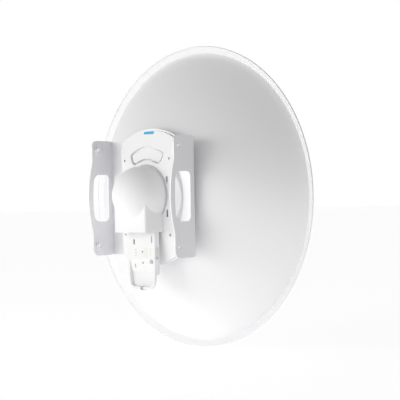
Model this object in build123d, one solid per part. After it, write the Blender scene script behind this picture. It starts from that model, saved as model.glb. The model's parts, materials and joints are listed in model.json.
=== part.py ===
from build123d import *
import math
import os

# Outdoor wireless bridge: a radio feed in the middle of a parabolic dish, on a pole bracket.
# Millimetres. +Z up, +Y backwards to the pole, so the dish looks along -Y. The origin is the
# centre of the four clamp-bolt holes in the bracket's flanges, on the dish's axis.

# ---- driving dimensions ---------------------------------------------------------------------
# bracket, one stamped sheet
BRACKET_SHEET = 3.0
BRACKET_WIDTH = 251.0          # over the outside faces of the flanges
FLANGE_HEIGHT = 245.0
FLANGE_DEPTH = 55.6            # flange's plain ends, from the web's back face
FLANGE_BULGE = 66.5            # flange's deepest point
FLANGE_BULGE_HALF = 72.0       # half the length of the bulge
FLANGE_CORNER = 13.0
BEND_RADIUS = 4.5              # outside the bend
WEB_INSET = 1.5                # the web stops this far inside the flanges' ends
LOBE_HALF_WIDTH = 85.0
LOBE_RISE = 21.5               # of the lobe's apex above the web's straight end
LOBE_DIP = 2.0                 # of its foot below that end
SLOT_NEAR = 11.0               # handling slot in each flange, from the web's back face
SLOT_FAR = 50.5
SLOT_BULGE = 54.5
SLOT_HALF = 50.0
SLOT_ROOT_RADIUS = 8.0
SLOT_FREE_RADIUS = 16.0
CLAMP_SETBACK = 42.0           # clamp-bolt holes, from the web's back face
CLAMP_SPACING = 203.0          # between the two holes of a flange
CLAMP_HOLE_R = 4.25
CLAMP_COLLAR_R = 7.2           # drawn collar round each clamp hole, on the flange's inside
CLAMP_COLLAR = 5.5
BEND_RELIEF_R = 2.2            # half-round notch in a flange's end, beside its bend
BEND_RELIEF_SETBACK = 2.5
WEB_SLOT_X = 89.0              # small upright slots in the web's upper corners
WEB_SLOT_Z = 68.5
WEB_SLOT_SIZE = (9.0, 4.6)
LOBE_TAPER = (0.88, 0.475)     # direction in which the lobe runs into the web's straight end
LOBE_FLARE = 11.0              # length of that run-in, along X
FLANGE_BLEND = 60.0            # radius between the flange's plain ends and its bulge

# reflector
RIM_RADIUS = 325.0
RIM_SETBACK = 128.9            # from the web's back face forward to the lip's outer edge
LIP_WIDTH = 16.0
LIP_RISE = 7.0                 # the lip leans back by this much
LIP_BEAD = 1.7                 # radius of the rolled edge
DISH_SHEET = 1.6
SEAT_RADIUS = 86.0             # flat seat in the middle
DRAIN_HOLE_R = 2.0
DRAIN_ANGLES = (16.3, 27.1)    # from the top, towards +X

# feed
TUBE_RADIUS = 38.0
TUBE_WALL = 2.5
TUBE_FRONT = 152.0             # tube's front end, forward of the web's back face
CAP_STEP = 6.0                 # the cap's head is this much wider than the tube, in radius
CAP_LENGTH = 64.0
CAP_WALL = 2.5
CAP_SLEEVE = 12.0              # how far the cap reaches back over the tube
CAP_SHOULDER = (4.0, 6.0)      # start and length of the cone between its sleeve and its head
CAP_NOSE_RADIUS = 16.0
RADIATOR_FRONT = 158.0         # forward of the web's back face, as are the next ones
REFLECTOR_FRONT = 205.0
REFLECTOR_ROOM = 4.5           # round the sub-reflector, inside the cap's head
REFLECTOR_SLOPE = 7.0          # width of its leaning edge
REFLECTOR_DISH = 5.0           # how far its edge leans back
REFLECTOR_SHEET = 2.0
POST_R = 6.0
RADIO_BOARD_ROOM = 3.5         # between the radio board's sides and the tube's inside
RADIO_BOARD_FRONT = 138.0
RADIO_BOARD_BACK = 2.0         # behind the web's back face
RAIL_TOP = -5.0                # Z of the rails that carry the radio board
RAIL_SHEET = 2.0
RAIL_FRONT = 140.0
RAIL_BACK = 5.0
RAIL_REACH = 7.5               # how far the rails reach in from the tube's inside
CAN_ROOM = 13.5                # between the can's sides and the tube's inside
CAN_RISE = 7.0
CAN_SHEET = 0.8
CAN_SPAN = (110.0, 50.0)       # front and back ends, forward of the web's back face
SPREADER_ROOM = 11.5           # between the heat spreader's sides and the tube's inside
SPREADER_SPAN = (115.0, 45.0)
SPREADER_BASE = 4.0
SPREADER_FIN = 8.0
SPREADER_FINS = 7
SPREADER_EDGE = 3.0            # its outermost fins' distance from its sides
SPREADER_FIN_SHEET = 2.0
TUBE_FLANGE_REACH = 6.5        # width of the tube's rear flange
TUBE_FLANGE = 3.0
TAIL_SCREW_INSET = 3.0         # its screws' distance from the tube's inside
TAIL_SCREW_R = 1.2
TAIL_SCREW_LENGTH = 6.0
TAIL_SCREW_HEAD = (2.8, 1.6)   # radius and height

# hub fasteners
HUB_BOLT_CIRCLE_R = 76.0
HUB_BOLT_ANGLE = 40.0          # up from +X, and its mirror images
HUB_BOLT_R = 3.0               # M6
HEX_FLATS = 10.0
HEX_HEAD = 4.0
HEX_NUT = 5.0
WASHER_R = 6.2
WASHER_SHEET = 1.2
BOLT_END = 0.8                 # bolt past its nut
CLAMP_RING_SHEET = 3.0
CLAMP_RING_STEP = 5.0          # the ring's bore is this much wider than the dish's, in radius
HUB_COLLAR_WALL = 7.4          # between the feed tube and the dish's bore
CLAMP_RING_OUTER = 84.0
HUB_COLLAR_FRONT = 16.0        # the collar's front end, forward of the web's back face
SEAL_SETBACK = 4.0             # the seal's groove, from the collar's front end
SEAL_SECTION = 2.0

# rear housing and hood
HOUSING_HALF_WIDTH = 92.0
HOUSING_EDGE = 2.4             # its crown's height where it runs out, OVERRUN past its sides
HOUSING_SHOULDER_X = 64.0      # the crown stays nearly flat as far as here
HOUSING_SHOULDER = 13.5
HOUSING_CROWN = 15.8
CROWN_OVERRUN = 3.0            # how far the crown's profiles run on past the housing's outline
HOUSING_INSET = 3.0            # inside the bracket's lobes
HOUSING_WALL = 3.0
HOUSING_LOBE_HALF = 80.0       # half width of its upper and lower lobes
HOUSING_END = 3.0              # height of its upper and lower edges above the web
HOUSING_RIDGE = 17.4
HOUSING_SCREW_X = 67.5
HOUSING_SCREW_Z = 78.0
HOUSING_SCREW_R = 1.5
HOUSING_SCREW_HEAD_R = 2.5
HOUSING_SCREW_HEAD = 1.8
HOUSING_SCREW_FLOOR = 9.6      # floor of the screw's recess, above the web
HOUSING_SCREW_LENGTH = 14.6
HOUSING_SCREW_BOSS = 3.0       # wall of the boss round the screw's head
SCREW_DRIVE_DEPTH = 1.0
HOUSING_BORE_ROOM = 7.0        # round the feed tube
KIDNEY_RISE = 30.7             # height of the kidney-shaped groove above the hood
KIDNEY_SHOULDER_X = 52.0
KIDNEY_SHOULDER_DROP = 16.0    # its shoulders' distance below its top
KIDNEY_FOOT_X = 40.2
KIDNEY_STAND = 11.2            # between the hood and its lower side
KIDNEY_CORNERS = (9.0, 12.0)   # upper and lower corner radii
KIDNEY_GROOVE = 4.7
KIDNEY_FLOOR = 4.0             # above the web
KIDNEY_FLOOR_WALL = 2.5
KIDNEY_DROP = 1.7              # how far the island in it stays below the crown
CLIP_OFFSET = 0.7              # clip windows beside the collar, from the hood's radius
CLIP_Z = 34.0
CLIP_SIZE = (4.5, 15.0)
CLIP_DEPTH = 8.0
CLIP_CLEAR = 0.5               # the window's distance from the collar
MARK_UP = 134.0
MARK_SIZE = (31.0, 5.6)
MARK_THICK = 0.3
HOOD_RADIUS = 59.8
HOOD_CENTRE_BACK = 30.0        # centre of the dome behind the web's back face
HOOD_CENTRE_UP = 4.3
HOOD_WALL = 2.5
HOOD_SEAT = 6.0                # floor of the hood's pocket, above the web
NECK_ROOM = 4.25               # between the neck and the tail's sides
NECK_BACK = 62.5
NECK_BOTTOM = -72.0
NECK_CORNER = 4.0
COLLAR_WIDTH = 4.5
COLLAR_TOP = 15.0
COLLAR_GROOVE = (1.7, 2.9)     # groove in the collar's top, from its inside
COLLAR_GROOVE_DEPTH = 1.2

# tail body, behind the feed tube and down out of the hood
TAIL_HALF_WIDTH = 40.75
TAIL_FRONT = 19.0
TAIL_BACK = 32.0
TAIL_WALL = 2.5
TAIL_BOTTOM = -155.0
TAIL_PLATE = 2.5
PORT_BOARD_FRONT = 22.5
PORT_BOARD_ROOM = 2.05         # between the board and the finger pockets' walls
PORT_BOARD_Z = (-121.0, -50.0)
BOARD_SHEET = 1.6
BOARD_POST_INSET = 3.0         # from the board's sides
BOARD_POST_Z = (-60.0, -97.0)
BOARD_POST_R = 3.0
BOARD_SCREW_R = 1.0
BOARD_SCREW_LENGTH = 5.0
BOARD_SCREW_HEAD = (2.2, 0.8)  # radius and height
JACK_HALF_WIDTH = 8.0
JACK_DEPTH = 13.5
JACK_LENGTH = 21.0
JACK_STAND = 1.0               # its gap behind the tail's back face
JACK_MOUTH = -66.0             # Z of the socket's mouth, which faces down
JACK_BOX_WALL = 2.0
SOCKET_HALF = 5.9
SOCKET_SPAN = (2.4, 10.6)      # the socket's room, from the jack's front face
LATCH_HALF = 3.2
LATCH_END = 12.2               # the room for the plug's latch ends here
SOCKET_LENGTH = 14.0
BUTTON_X = -3.3
BUTTON_Z = -112.5
BUTTON_R = 1.6
BUTTON_TRAVEL = 0.8
BUTTON_FLANGE = (2.8, 1.0)     # radius and thickness
BUTTON_SUNK = 0.6              # its face's depth below the tail's back face
BUTTON_REST = 0.2              # its clearance from the pressed switch
SWITCH_HALF = 3.0
SWITCH_RISE = 1.1
LAMP_X = 15.5
LAMP_TOP = -108.0
LAMP_PITCH = 3.2
LAMP_COUNT = 5
LAMP_R = 0.9
LAMP_CLEAR = 1.2               # the light pipes' distance from the board
LAMP_PROUD = 0.2
LABEL_X = (-19.5, -8.0)
LABEL_Z = (-123.0, -104.0)
LABEL_THICK = 0.6
LABEL_CORNER = 1.5
PORT_SCREW_Z = -135.0
PORT_SCREW_HEAD = (2.15, 1.8)  # radius and height
PORT_SCREW_HOLE_R = 2.4
FACE_WELL = 4.0                # floor of the tongue's holes, behind its front face
VENT_X = 21.5
VENT_Z = -92.0
VENT_SIZE = (12.0, 4.0)
LOWER_SLOT_Z = -142.0
LOWER_SLOT_SIZE = (9.0, 3.4)
EDGE_SLOT_INSET = 8.75         # from the tail's -X side
EDGE_SLOT_Z = -87.5
EDGE_SLOT_SIZE = (14.0, 2.6)
RIB_INSET = 13.15              # small upright rib on the back face, from that side
RIB_SHEET = 1.2
RIB_Z = (-120.0, -105.0)
RIB_PROUD = 0.7
SIDE_POCKET_Z = (-126.5, -101.5)
SIDE_POCKET = (20.6, 30.4)     # its depths behind the web
SIDE_POCKET_IN = 5.0
SIDE_POCKET_WALL = 1.2
GROUND_INSET = 5.55            # from the tongue's -X side
GROUND_Z = -133.0
GROUND_R = 2.0                 # M4
GROUND_LENGTH = 8.5
GROUND_HEAD = (3.6, 2.4)       # radius and height
GROUND_BOSS_R = 5.0
GROUND_SUNK = 1.0              # its seat's depth below the back face
GROUND_WASHER = (4.6, 0.8)     # radius and thickness
TONGUE_TOP = -128.0            # where the tail narrows between the cover's arms
TONGUE_CORNER = 5.0
RAMP_DROP = 6.0                # how far the tongue's back face falls away

# port cover
COVER_ARM = 5.4
COVER_BOTTOM = -190.0
COVER_FRONT = 22.0             # the tray's front face, behind the web
COVER_CHAMFER = 5.5            # round that face's outer edge
COVER_FLOOR = 2.5
COVER_CORNER = 17.0
COVER_TRAVEL = 22.0
COVER_RAIL = (21.3, 23.2)      # the guide ribs' depths behind the web
COVER_RAIL_HIGH = 1.9
COVER_RAIL_END = -150.0
COVER_STEP = 3.0               # how far the cover tapers in on each side
ARM_FOOT = -157.0              # where the arms' front faces slope back to the tray's
GROMMET_R = 4.4
GROMMET_BORE_R = 3.0
GROMMET_SETBACK = 4.6          # its axis, forward of the cover's back face
GROMMET_LIP = (1.0, 1.6)       # how far its lip stands out, and its thickness
GROMMET_SPLIT = 1.0

# fits
RUN_GAP = 0.3                  # between curved or sliding faces of different bodies
SEAT_GAP = 0.3                 # between curved faces that do not move
SCREW_GAP = 0.25               # round a screw or bolt in its hole

# ---- planes worked out from them ------------------------------------------------------------
WEB_BACK = -CLAMP_SETBACK
WEB_FRONT = WEB_BACK - BRACKET_SHEET
HALF_WIDTH = BRACKET_WIDTH / 2
HALF_FLANGE = FLANGE_HEIGHT / 2
HALF_WEB = HALF_FLANGE - WEB_INSET
LOBE_APEX = HALF_WEB + LOBE_RISE
LOBE_FOOT = HALF_WEB - LOBE_DIP
DISH_BORE = TUBE_RADIUS + HUB_COLLAR_WALL + 2 * SEAT_GAP
TUBE_INNER = TUBE_RADIUS - TUBE_WALL
CAP_RADIUS = TUBE_RADIUS + CAP_STEP
CLAMP_RING_INNER = DISH_BORE + CLAMP_RING_STEP
HOUSING_BORE = TUBE_RADIUS + HOUSING_BORE_ROOM
NECK_HALF_WIDTH = TAIL_HALF_WIDTH + NECK_ROOM + HOOD_WALL
KIDNEY_LOW_R = HOOD_RADIUS + KIDNEY_STAND
KIDNEY_TOP = HOOD_CENTRE_UP + KIDNEY_LOW_R + KIDNEY_RISE
CLIP_X = HOOD_RADIUS + CLIP_OFFSET
RIM_EDGE_Y = WEB_BACK - RIM_SETBACK
APERTURE_RADIUS = RIM_RADIUS - LIP_WIDTH
APERTURE_Y = RIM_EDGE_Y - LIP_RISE
DISH_DEPTH = WEB_FRONT - APERTURE_Y
FOCAL_LENGTH = (APERTURE_RADIUS**2 - SEAT_RADIUS**2) / (4 * DISH_DEPTH)
SEAT_FRONT = WEB_FRONT - DISH_SHEET
RING_FRONT = SEAT_FRONT - CLAMP_RING_SHEET
HOUSING_TOP = LOBE_APEX - HOUSING_INSET
HUB_COLLAR_BACK = HOOD_SEAT - HOUSING_WALL - SEAT_GAP
TONGUE_HALF_WIDTH = TAIL_HALF_WIDTH - COVER_ARM - RUN_GAP
GROUND_X = GROUND_INSET - TONGUE_HALF_WIDTH
PORT_BOARD_HALF = TAIL_HALF_WIDTH - SIDE_POCKET_IN - SIDE_POCKET_WALL - PORT_BOARD_ROOM
BOARD_POSTS = [(side * (PORT_BOARD_HALF - BOARD_POST_INSET), z) for z in BOARD_POST_Z for side in (1, -1)]
THROUGH = 1.0                  # how far a cut runs past the faces that it opens


# ---- helpers --------------------------------------------------------------------------------
def aft(depth):
    """Y of the plane this far behind the bracket's web."""
    return WEB_BACK + depth


def slab(sketch, front, back):
    """A sketch drawn in X and Z, made solid from Y = front to Y = back."""
    plane = Plane(origin=(0, back, 0), x_dir=(1, 0, 0), z_dir=(0, -1, 0))
    return extrude(plane * sketch, back - front)


def cheek(sketch, left, right):
    """A sketch drawn in Y and Z, made solid from X = left to X = right."""
    plane = Plane(origin=(left, 0, 0), x_dir=(0, 1, 0), z_dir=(1, 0, 0))
    return extrude(plane * sketch, right - left)


def rod(radius, front, back, x=0.0, z=0.0):
    """A cylinder along Y."""
    return slab(Pos(x, z) * Circle(radius), front, back)


def tube(outer, inner, front, back, x=0.0, z=0.0):
    """A hollow cylinder along Y."""
    return slab(Pos(x, z) * (Circle(outer) - Circle(inner)), front, back)


def block(x0, x1, y0, y1, z0, z1):
    """A box between its limits."""
    centre = Pos((x0 + x1) / 2, (y0 + y1) / 2, (z0 + z1) / 2)
    return centre * Box(x1 - x0, y1 - y0, z1 - z0)


def hexagon(across_flats, front, back, x, z):
    """A hexagonal prism along Y."""
    return slab(Pos(x, z) * RegularPolygon(across_flats / math.sqrt(3), 6), front, back)


def group(solids):
    """Separate solids kept together in one node."""
    return Compound(children=list(solids))


def save(shape, node):
    """Write one node's STEP file."""
    export_step(shape, f"parts/{node}.step")


def mirrored(solid):
    """The same solid on the other side of the dish's axis."""
    return mirror(solid, about=Plane.YZ)


# ---- reflector ------------------------------------------------------------------------------
def dish_curve(lift):
    """The dish's meridian from seat to aperture, moved back along its normal by lift."""
    slope_in = SEAT_RADIUS / (2 * FOCAL_LENGTH)
    slope_out = APERTURE_RADIUS / (2 * FOCAL_LENGTH)

    def lifted(radius, y, slope):
        size = math.hypot(1, slope)
        return radius + lift * slope / size, y + lift / size

    r0, y0 = lifted(SEAT_RADIUS, SEAT_FRONT, slope_in)
    r2, y2 = lifted(APERTURE_RADIUS, SEAT_FRONT - DISH_DEPTH, slope_out)
    r1 = (y0 - y2 + slope_in * r0 - slope_out * r2) / (slope_in - slope_out)
    y1 = y0 - slope_in * (r1 - r0)
    return Bezier((r0, y0), (r1, y1), (r2, y2)), (r0, y0), (r2, y2)


def build_dish():
    front_curve, front_in, front_out = dish_curve(0)
    back_curve, back_in, back_out = dish_curve(DISH_SHEET)
    lip_length = math.hypot(LIP_WIDTH, LIP_RISE)
    lip_u = (LIP_WIDTH / lip_length, LIP_RISE / lip_length)
    edge_front = (RIM_RADIUS - LIP_BEAD, RIM_EDGE_Y - LIP_RISE * LIP_BEAD / LIP_WIDTH - DISH_SHEET)
    edge_back = (edge_front[0] - lip_u[1] * DISH_SHEET, edge_front[1] + lip_u[0] * DISH_SHEET)
    outline = [
        Line((DISH_BORE, SEAT_FRONT), front_in),
        front_curve,
        Line(front_out, edge_front),
        Line(edge_front, edge_back),
        Line(edge_back, back_out),
        back_curve,
        Line(back_in, (DISH_BORE, WEB_FRONT)),
        Line((DISH_BORE, WEB_FRONT), (DISH_BORE, SEAT_FRONT)),
    ]
    sheet = revolve(make_face(outline), Axis.Y)
    bead_y = (edge_front[1] + edge_back[1]) / 2
    bead = revolve(Pos(RIM_RADIUS - LIP_BEAD, bead_y) * Circle(LIP_BEAD), Axis.Y)
    dish = sheet + bead
    for x, z in hub_bolt_places():
        dish -= rod(HUB_BOLT_R + SCREW_GAP, SEAT_FRONT - 1, WEB_FRONT + 1, x, z)
    lip_mid = RIM_RADIUS - LIP_WIDTH / 2
    for angle in DRAIN_ANGLES:
        x = lip_mid * math.sin(math.radians(angle))
        z = lip_mid * math.cos(math.radians(angle))
        dish -= rod(DRAIN_HOLE_R, APERTURE_Y - 5, RIM_EDGE_Y + 5, x, z)
    return dish


def hub_bolt_places():
    """X and Z of the four bolts that clamp the dish to the bracket."""
    x, z = polar(HUB_BOLT_CIRCLE_R, HUB_BOLT_ANGLE)
    return [(sx * x, sz * z) for sx in (1, -1) for sz in (1, -1)]


def polar(radius, angle):
    """X and Z of a point at this angle up from +X."""
    return radius * math.cos(math.radians(angle)), radius * math.sin(math.radians(angle))


# ---- bracket --------------------------------------------------------------------------------
def lobe_outline(inset=0.0):
    """The web's outline: straight sides and ends, with a shallow lobe above and below."""
    half = HALF_WIDTH - inset
    foot = LOBE_FOOT - inset
    shoulder = LOBE_HALF_WIDTH + LOBE_FLARE - inset
    end = HALF_WEB - inset
    apex = LOBE_APEX - inset
    lobe = LOBE_HALF_WIDTH - inset
    run, drop = LOBE_TAPER
    lines = []
    for side in (1, -1):
        lines += [
            Line((-side * half, side * end), (-side * shoulder, side * end)),
            Spline(
                (-side * shoulder, side * end),
                (-side * lobe, side * foot),
                tangents=[(side, 0), (side * run, side * drop)],
            ),
            ThreePointArc((-side * lobe, side * foot), (0, side * apex), (side * lobe, side * foot)),
            Spline(
                (side * lobe, side * foot),
                (side * shoulder, side * end),
                tangents=[(side * run, -side * drop), (side, 0)],
            ),
            Line((side * shoulder, side * end), (side * half, side * end)),
            Line((side * half, side * end), (side * half, -side * end)),
        ]
    return make_face(lines)


def flange_profile():
    """One flange in Y and Z: square root, round corners, bulging free edge."""
    root = WEB_BACK - BRACKET_SHEET / 2
    end = aft(FLANGE_DEPTH)
    outline = Polyline(
        (end, FLANGE_BULGE_HALF),
        (end, HALF_FLANGE),
        (root, HALF_FLANGE),
        (root, -HALF_FLANGE),
        (end, -HALF_FLANGE),
        (end, -FLANGE_BULGE_HALF),
    )
    bulge = ThreePointArc((end, -FLANGE_BULGE_HALF), (aft(FLANGE_BULGE), 0), (end, FLANGE_BULGE_HALF))
    face = make_face([outline, bulge])
    corners = [v for v in face.vertices() if abs(abs(v.Y) - HALF_FLANGE) < 0.01 and v.X > WEB_BACK]
    face = fillet(corners, FLANGE_CORNER)
    joins = [v for v in face.vertices() if abs(abs(v.Y) - FLANGE_BULGE_HALF) < 0.01]
    face = fillet(joins, FLANGE_BLEND)
    near = aft(SLOT_NEAR)
    far = aft(SLOT_FAR)
    slot_lines = Polyline((far, SLOT_HALF), (near, SLOT_HALF), (near, -SLOT_HALF), (far, -SLOT_HALF))
    slot_arc = ThreePointArc((far, -SLOT_HALF), (aft(SLOT_BULGE), 0), (far, SLOT_HALF))
    slot = make_face([slot_lines, slot_arc])
    root_side = [v for v in slot.vertices() if abs(v.X - near) < 0.01]
    slot = fillet(root_side, SLOT_ROOT_RADIUS)
    free_side = [v for v in slot.vertices() if abs(v.X - far) < 0.01]
    slot = fillet(free_side, SLOT_FREE_RADIUS)
    face -= slot
    for z in (CLAMP_SPACING / 2, -CLAMP_SPACING / 2):
        face -= Pos(0, z) * Circle(CLAMP_HOLE_R)
    for z in (HALF_FLANGE, -HALF_FLANGE):
        face -= Pos(aft(BEND_RELIEF_SETBACK), z) * Circle(BEND_RELIEF_R)
    return face


def build_bracket():
    web = slab(lobe_outline(), WEB_FRONT, WEB_BACK)
    inner = HALF_WIDTH - BRACKET_SHEET
    right = cheek(flange_profile(), inner, HALF_WIDTH)
    for z in (CLAMP_SPACING / 2, -CLAMP_SPACING / 2):
        ring = Pos(0, z) * (Circle(CLAMP_COLLAR_R) - Circle(CLAMP_HOLE_R))
        right += cheek(ring, inner - CLAMP_COLLAR, inner)
    bracket = web + right + mirrored(right)
    outer_bends = bracket.edges().filter_by(Axis.Z).filter_by(
        lambda e: abs(abs(e.center().X) - HALF_WIDTH) < 0.01 and abs(e.center().Y - WEB_FRONT) < 0.01
    )
    bracket = fillet(outer_bends, BEND_RADIUS)
    bracket -= rod(DISH_BORE, WEB_FRONT - 1, WEB_BACK + 1)
    for x, z in hub_bolt_places():
        bracket -= rod(HUB_BOLT_R + SCREW_GAP, WEB_FRONT - 1, WEB_BACK + 1, x, z)
    for x, z in housing_screw_places():
        bracket -= rod(HOUSING_SCREW_R + SCREW_GAP, WEB_FRONT - 1, WEB_BACK + 1, x, z)
    for x in (WEB_SLOT_X, -WEB_SLOT_X):
        slot = Pos(x, WEB_SLOT_Z) * SlotOverall(*WEB_SLOT_SIZE, rotation=90)
        bracket -= slab(slot, WEB_FRONT - 1, WEB_BACK + 1)
    return bracket


def housing_screw_places():
    """X and Z of the four screws of the rear housing."""
    return [(sx * HOUSING_SCREW_X, sz * HOUSING_SCREW_Z) for sx in (1, -1) for sz in (1, -1)]


# ---- rear housing ---------------------------------------------------------------------------
def housing_outline(inset=0.0):
    """A disc at the sides, joined to the bracket's lobes above and below."""
    lobes = lobe_outline(HOUSING_INSET + inset) & Rectangle(2 * (HOUSING_LOBE_HALF - inset), 400)
    return lobes + Circle(HOUSING_HALF_WIDTH - inset)


def across_profile(lift):
    """The crown in X and Y: nearly flat over the middle, rounding down to the side edges."""
    reach = HOUSING_HALF_WIDTH + CROWN_OVERRUN
    shoulder = (HOUSING_SHOULDER_X, aft(HOUSING_SHOULDER + lift))
    mate = (-shoulder[0], shoulder[1])
    top = ThreePointArc(mate, (0, aft(HOUSING_CROWN + lift)), shoulder)
    leave = top % 1
    right = TangentArc(shoulder, (reach, aft(HOUSING_EDGE + lift)), tangent=leave)
    left = TangentArc(mate, (-reach, aft(HOUSING_EDGE + lift)), tangent=(-leave.X, leave.Y))
    floor = Polyline(
        (reach, aft(HOUSING_EDGE + lift)), (reach, WEB_FRONT),
        (-reach, WEB_FRONT), (-reach, aft(HOUSING_EDGE + lift)),
    )
    return make_face([top, right, left, floor])


def upright_profile(lift):
    """The crown in Z and Y: one shallow arc from the lower lobe's end to the upper one's."""
    reach = HOUSING_TOP + CROWN_OVERRUN
    fall = (HOUSING_RIDGE - HOUSING_END) * (reach / HOUSING_TOP) ** 2
    low = aft(HOUSING_RIDGE - fall + lift)
    arc = ThreePointArc((-reach, low), (0, aft(HOUSING_RIDGE + lift)), (reach, low))
    floor = Polyline((reach, low), (reach, WEB_FRONT), (-reach, WEB_FRONT), (-reach, low))
    return make_face([arc, floor])


def crowned(outline, lift=0.0):
    """The outline raised to the housing's crowned outer surface, moved back by lift."""
    barrel = extrude(across_profile(lift), HOUSING_TOP + CROWN_OVERRUN, both=True)
    plane = Plane(origin=(0, 0, 0), x_dir=(0, 0, 1), z_dir=(-1, 0, 0))
    other = extrude(plane * upright_profile(lift), HOUSING_HALF_WIDTH + CROWN_OVERRUN, both=True)
    return slab(outline, WEB_BACK, aft(HOUSING_RIDGE + THROUGH)) & barrel & other


def hood_footprint(grow=0.0):
    """Where the hood stands: the dome's circle and the neck's rectangle."""
    neck_top = HOOD_CENTRE_UP
    neck = Pos(0, (neck_top + NECK_BOTTOM) / 2) * Rectangle(
        2 * (NECK_HALF_WIDTH + grow), neck_top - NECK_BOTTOM + 2 * grow
    )
    return neck + Pos(0, HOOD_CENTRE_UP) * Circle(HOOD_RADIUS + grow)


def kidney():
    """The groove's outer outline: two arcs joined by converging sides, with round corners."""
    x, z = KIDNEY_SHOULDER_X, KIDNEY_TOP - KIDNEY_SHOULDER_DROP
    foot = HOOD_CENTRE_UP + math.sqrt(KIDNEY_LOW_R**2 - KIDNEY_FOOT_X**2)
    face = make_face([
        ThreePointArc((-x, z), (0, KIDNEY_TOP), (x, z)),
        Line((x, z), (KIDNEY_FOOT_X, foot)),
        ThreePointArc((KIDNEY_FOOT_X, foot), (0, HOOD_CENTRE_UP + KIDNEY_LOW_R), (-KIDNEY_FOOT_X, foot)),
        Line((-KIDNEY_FOOT_X, foot), (-x, z)),
    ])
    upper = [v for v in face.vertices() if abs(v.Y - z) < 0.01]
    face = fillet(upper, KIDNEY_CORNERS[0])
    lower = [v for v in face.vertices() if abs(v.Y - foot) < 0.01]
    return fillet(lower, KIDNEY_CORNERS[1])


def build_rear_housing():
    past = aft(HOUSING_RIDGE + THROUGH)
    body = crowned(housing_outline()) - crowned(housing_outline(HOUSING_WALL), -HOUSING_WALL)
    floor = hood_footprint(SEAT_GAP + HOUSING_WALL) & housing_outline()
    body += crowned(floor) - slab(floor, WEB_BACK, aft(HOOD_SEAT - HOUSING_WALL))
    body -= slab(kidney(), WEB_BACK, past)
    body += kidney_tray()
    body += hood_collar()
    body -= slab(hood_footprint(SEAT_GAP), aft(HOOD_SEAT), past)
    for x, z in housing_screw_places():
        floor = aft(HOUSING_SCREW_FLOOR)
        head_room = HOUSING_SCREW_HEAD_R + SEAT_GAP
        body += rod(head_room + HOUSING_SCREW_BOSS, WEB_BACK, floor + HOUSING_SCREW_HEAD, x, z)
        body -= rod(head_room, floor, past, x, z)
        body -= rod(HOUSING_SCREW_R + SCREW_GAP, WEB_BACK - THROUGH, floor + THROUGH, x, z)
    collar = Pos(0, HOOD_CENTRE_UP) * Circle(HOOD_RADIUS + SEAT_GAP + COLLAR_WIDTH + CLIP_CLEAR)
    for x in (CLIP_X, -CLIP_X):
        for z in (CLIP_Z, -CLIP_Z):
            window = Pos(x, z) * Rectangle(*CLIP_SIZE) - collar
            body -= slab(window, aft(HOUSING_CROWN - CLIP_DEPTH), past)
    return body - rod(HOUSING_BORE, WEB_BACK - THROUGH, past)


def hood_collar():
    """The ring round the dome's foot, with a fine groove in its top."""
    inner = HOOD_RADIUS + SEAT_GAP
    top = aft(COLLAR_TOP)
    near, far = COLLAR_GROOVE
    ring = tube(inner + COLLAR_WIDTH, inner, aft(HOOD_SEAT), top, 0, HOOD_CENTRE_UP)
    return ring - tube(inner + far, inner + near, top - COLLAR_GROOVE_DEPTH, top + THROUGH, 0, HOOD_CENTRE_UP)


def kidney_tray():
    """The kidney groove's walls and floor, and the hollow island inside it."""
    past = aft(HOUSING_RIDGE + THROUGH)
    outer = offset(kidney(), KIDNEY_FLOOR_WALL)
    island = offset(kidney(), -KIDNEY_GROOVE)
    hollow = offset(island, -KIDNEY_FLOOR_WALL)
    tray = crowned(outer) - slab(outer, WEB_BACK, aft(KIDNEY_FLOOR - KIDNEY_FLOOR_WALL))
    tray -= slab(kidney(), aft(KIDNEY_FLOOR), past) - crowned(island, -KIDNEY_DROP)
    return tray - crowned(hollow, -KIDNEY_DROP - KIDNEY_FLOOR_WALL)


def cross_drive(arm, slot, front, back, x, z):
    """The cross-shaped recess in a screw's head."""
    cross = Rectangle(2 * arm, slot) + Rectangle(slot, 2 * arm)
    return slab(Pos(x, z) * cross, front, back)


def build_housing_screws():
    seat = aft(HOUSING_SCREW_FLOOR)
    top = seat + HOUSING_SCREW_HEAD
    screws = []
    for x, z in housing_screw_places():
        head = rod(HOUSING_SCREW_HEAD_R, seat, top, x, z)
        shank = rod(HOUSING_SCREW_R, seat - HOUSING_SCREW_LENGTH, seat, x, z)
        arm = HOUSING_SCREW_HEAD_R * 0.6
        screws.append(head + shank - cross_drive(arm, arm / 2, top - SCREW_DRIVE_DEPTH, top + THROUGH, x, z))
    return group(screws)


def build_mark():
    outline = Pos(0, MARK_UP) * SlotOverall(*MARK_SIZE)
    return crowned(outline, MARK_THICK) - crowned(outline)


# ---- hood -----------------------------------------------------------------------------------
def hood_solid(radius, half_width, back, bottom, corner):
    """The domed cylinder with its square neck, solid."""
    seat = aft(HOOD_SEAT)
    centre = aft(HOOD_CENTRE_BACK)
    meridian = make_face([
        Line((0, seat), (radius, seat)),
        Line((radius, seat), (radius, centre)),
        CenterArc((0, centre), radius, 0, 90),
        Line((0, centre + radius), (0, seat)),
    ])
    dome = Pos(0, 0, HOOD_CENTRE_UP) * revolve(meridian, Axis.Y)
    neck = block(-half_width, half_width, seat, aft(back), bottom, HOOD_CENTRE_UP)
    if corner > 0:
        uprights = neck.edges().filter_by(Axis.Z).filter_by(lambda e: e.center().Y > centre)
        neck = fillet(uprights, corner)
    return dome + neck


def build_hood():
    outer = hood_solid(HOOD_RADIUS, NECK_HALF_WIDTH, NECK_BACK, NECK_BOTTOM, NECK_CORNER)
    inner = hood_solid(
        HOOD_RADIUS - HOOD_WALL,
        NECK_HALF_WIDTH - HOOD_WALL,
        NECK_BACK - HOOD_WALL,
        NECK_BOTTOM - 1,
        NECK_CORNER - HOOD_WALL,
    )
    return outer - inner


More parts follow.
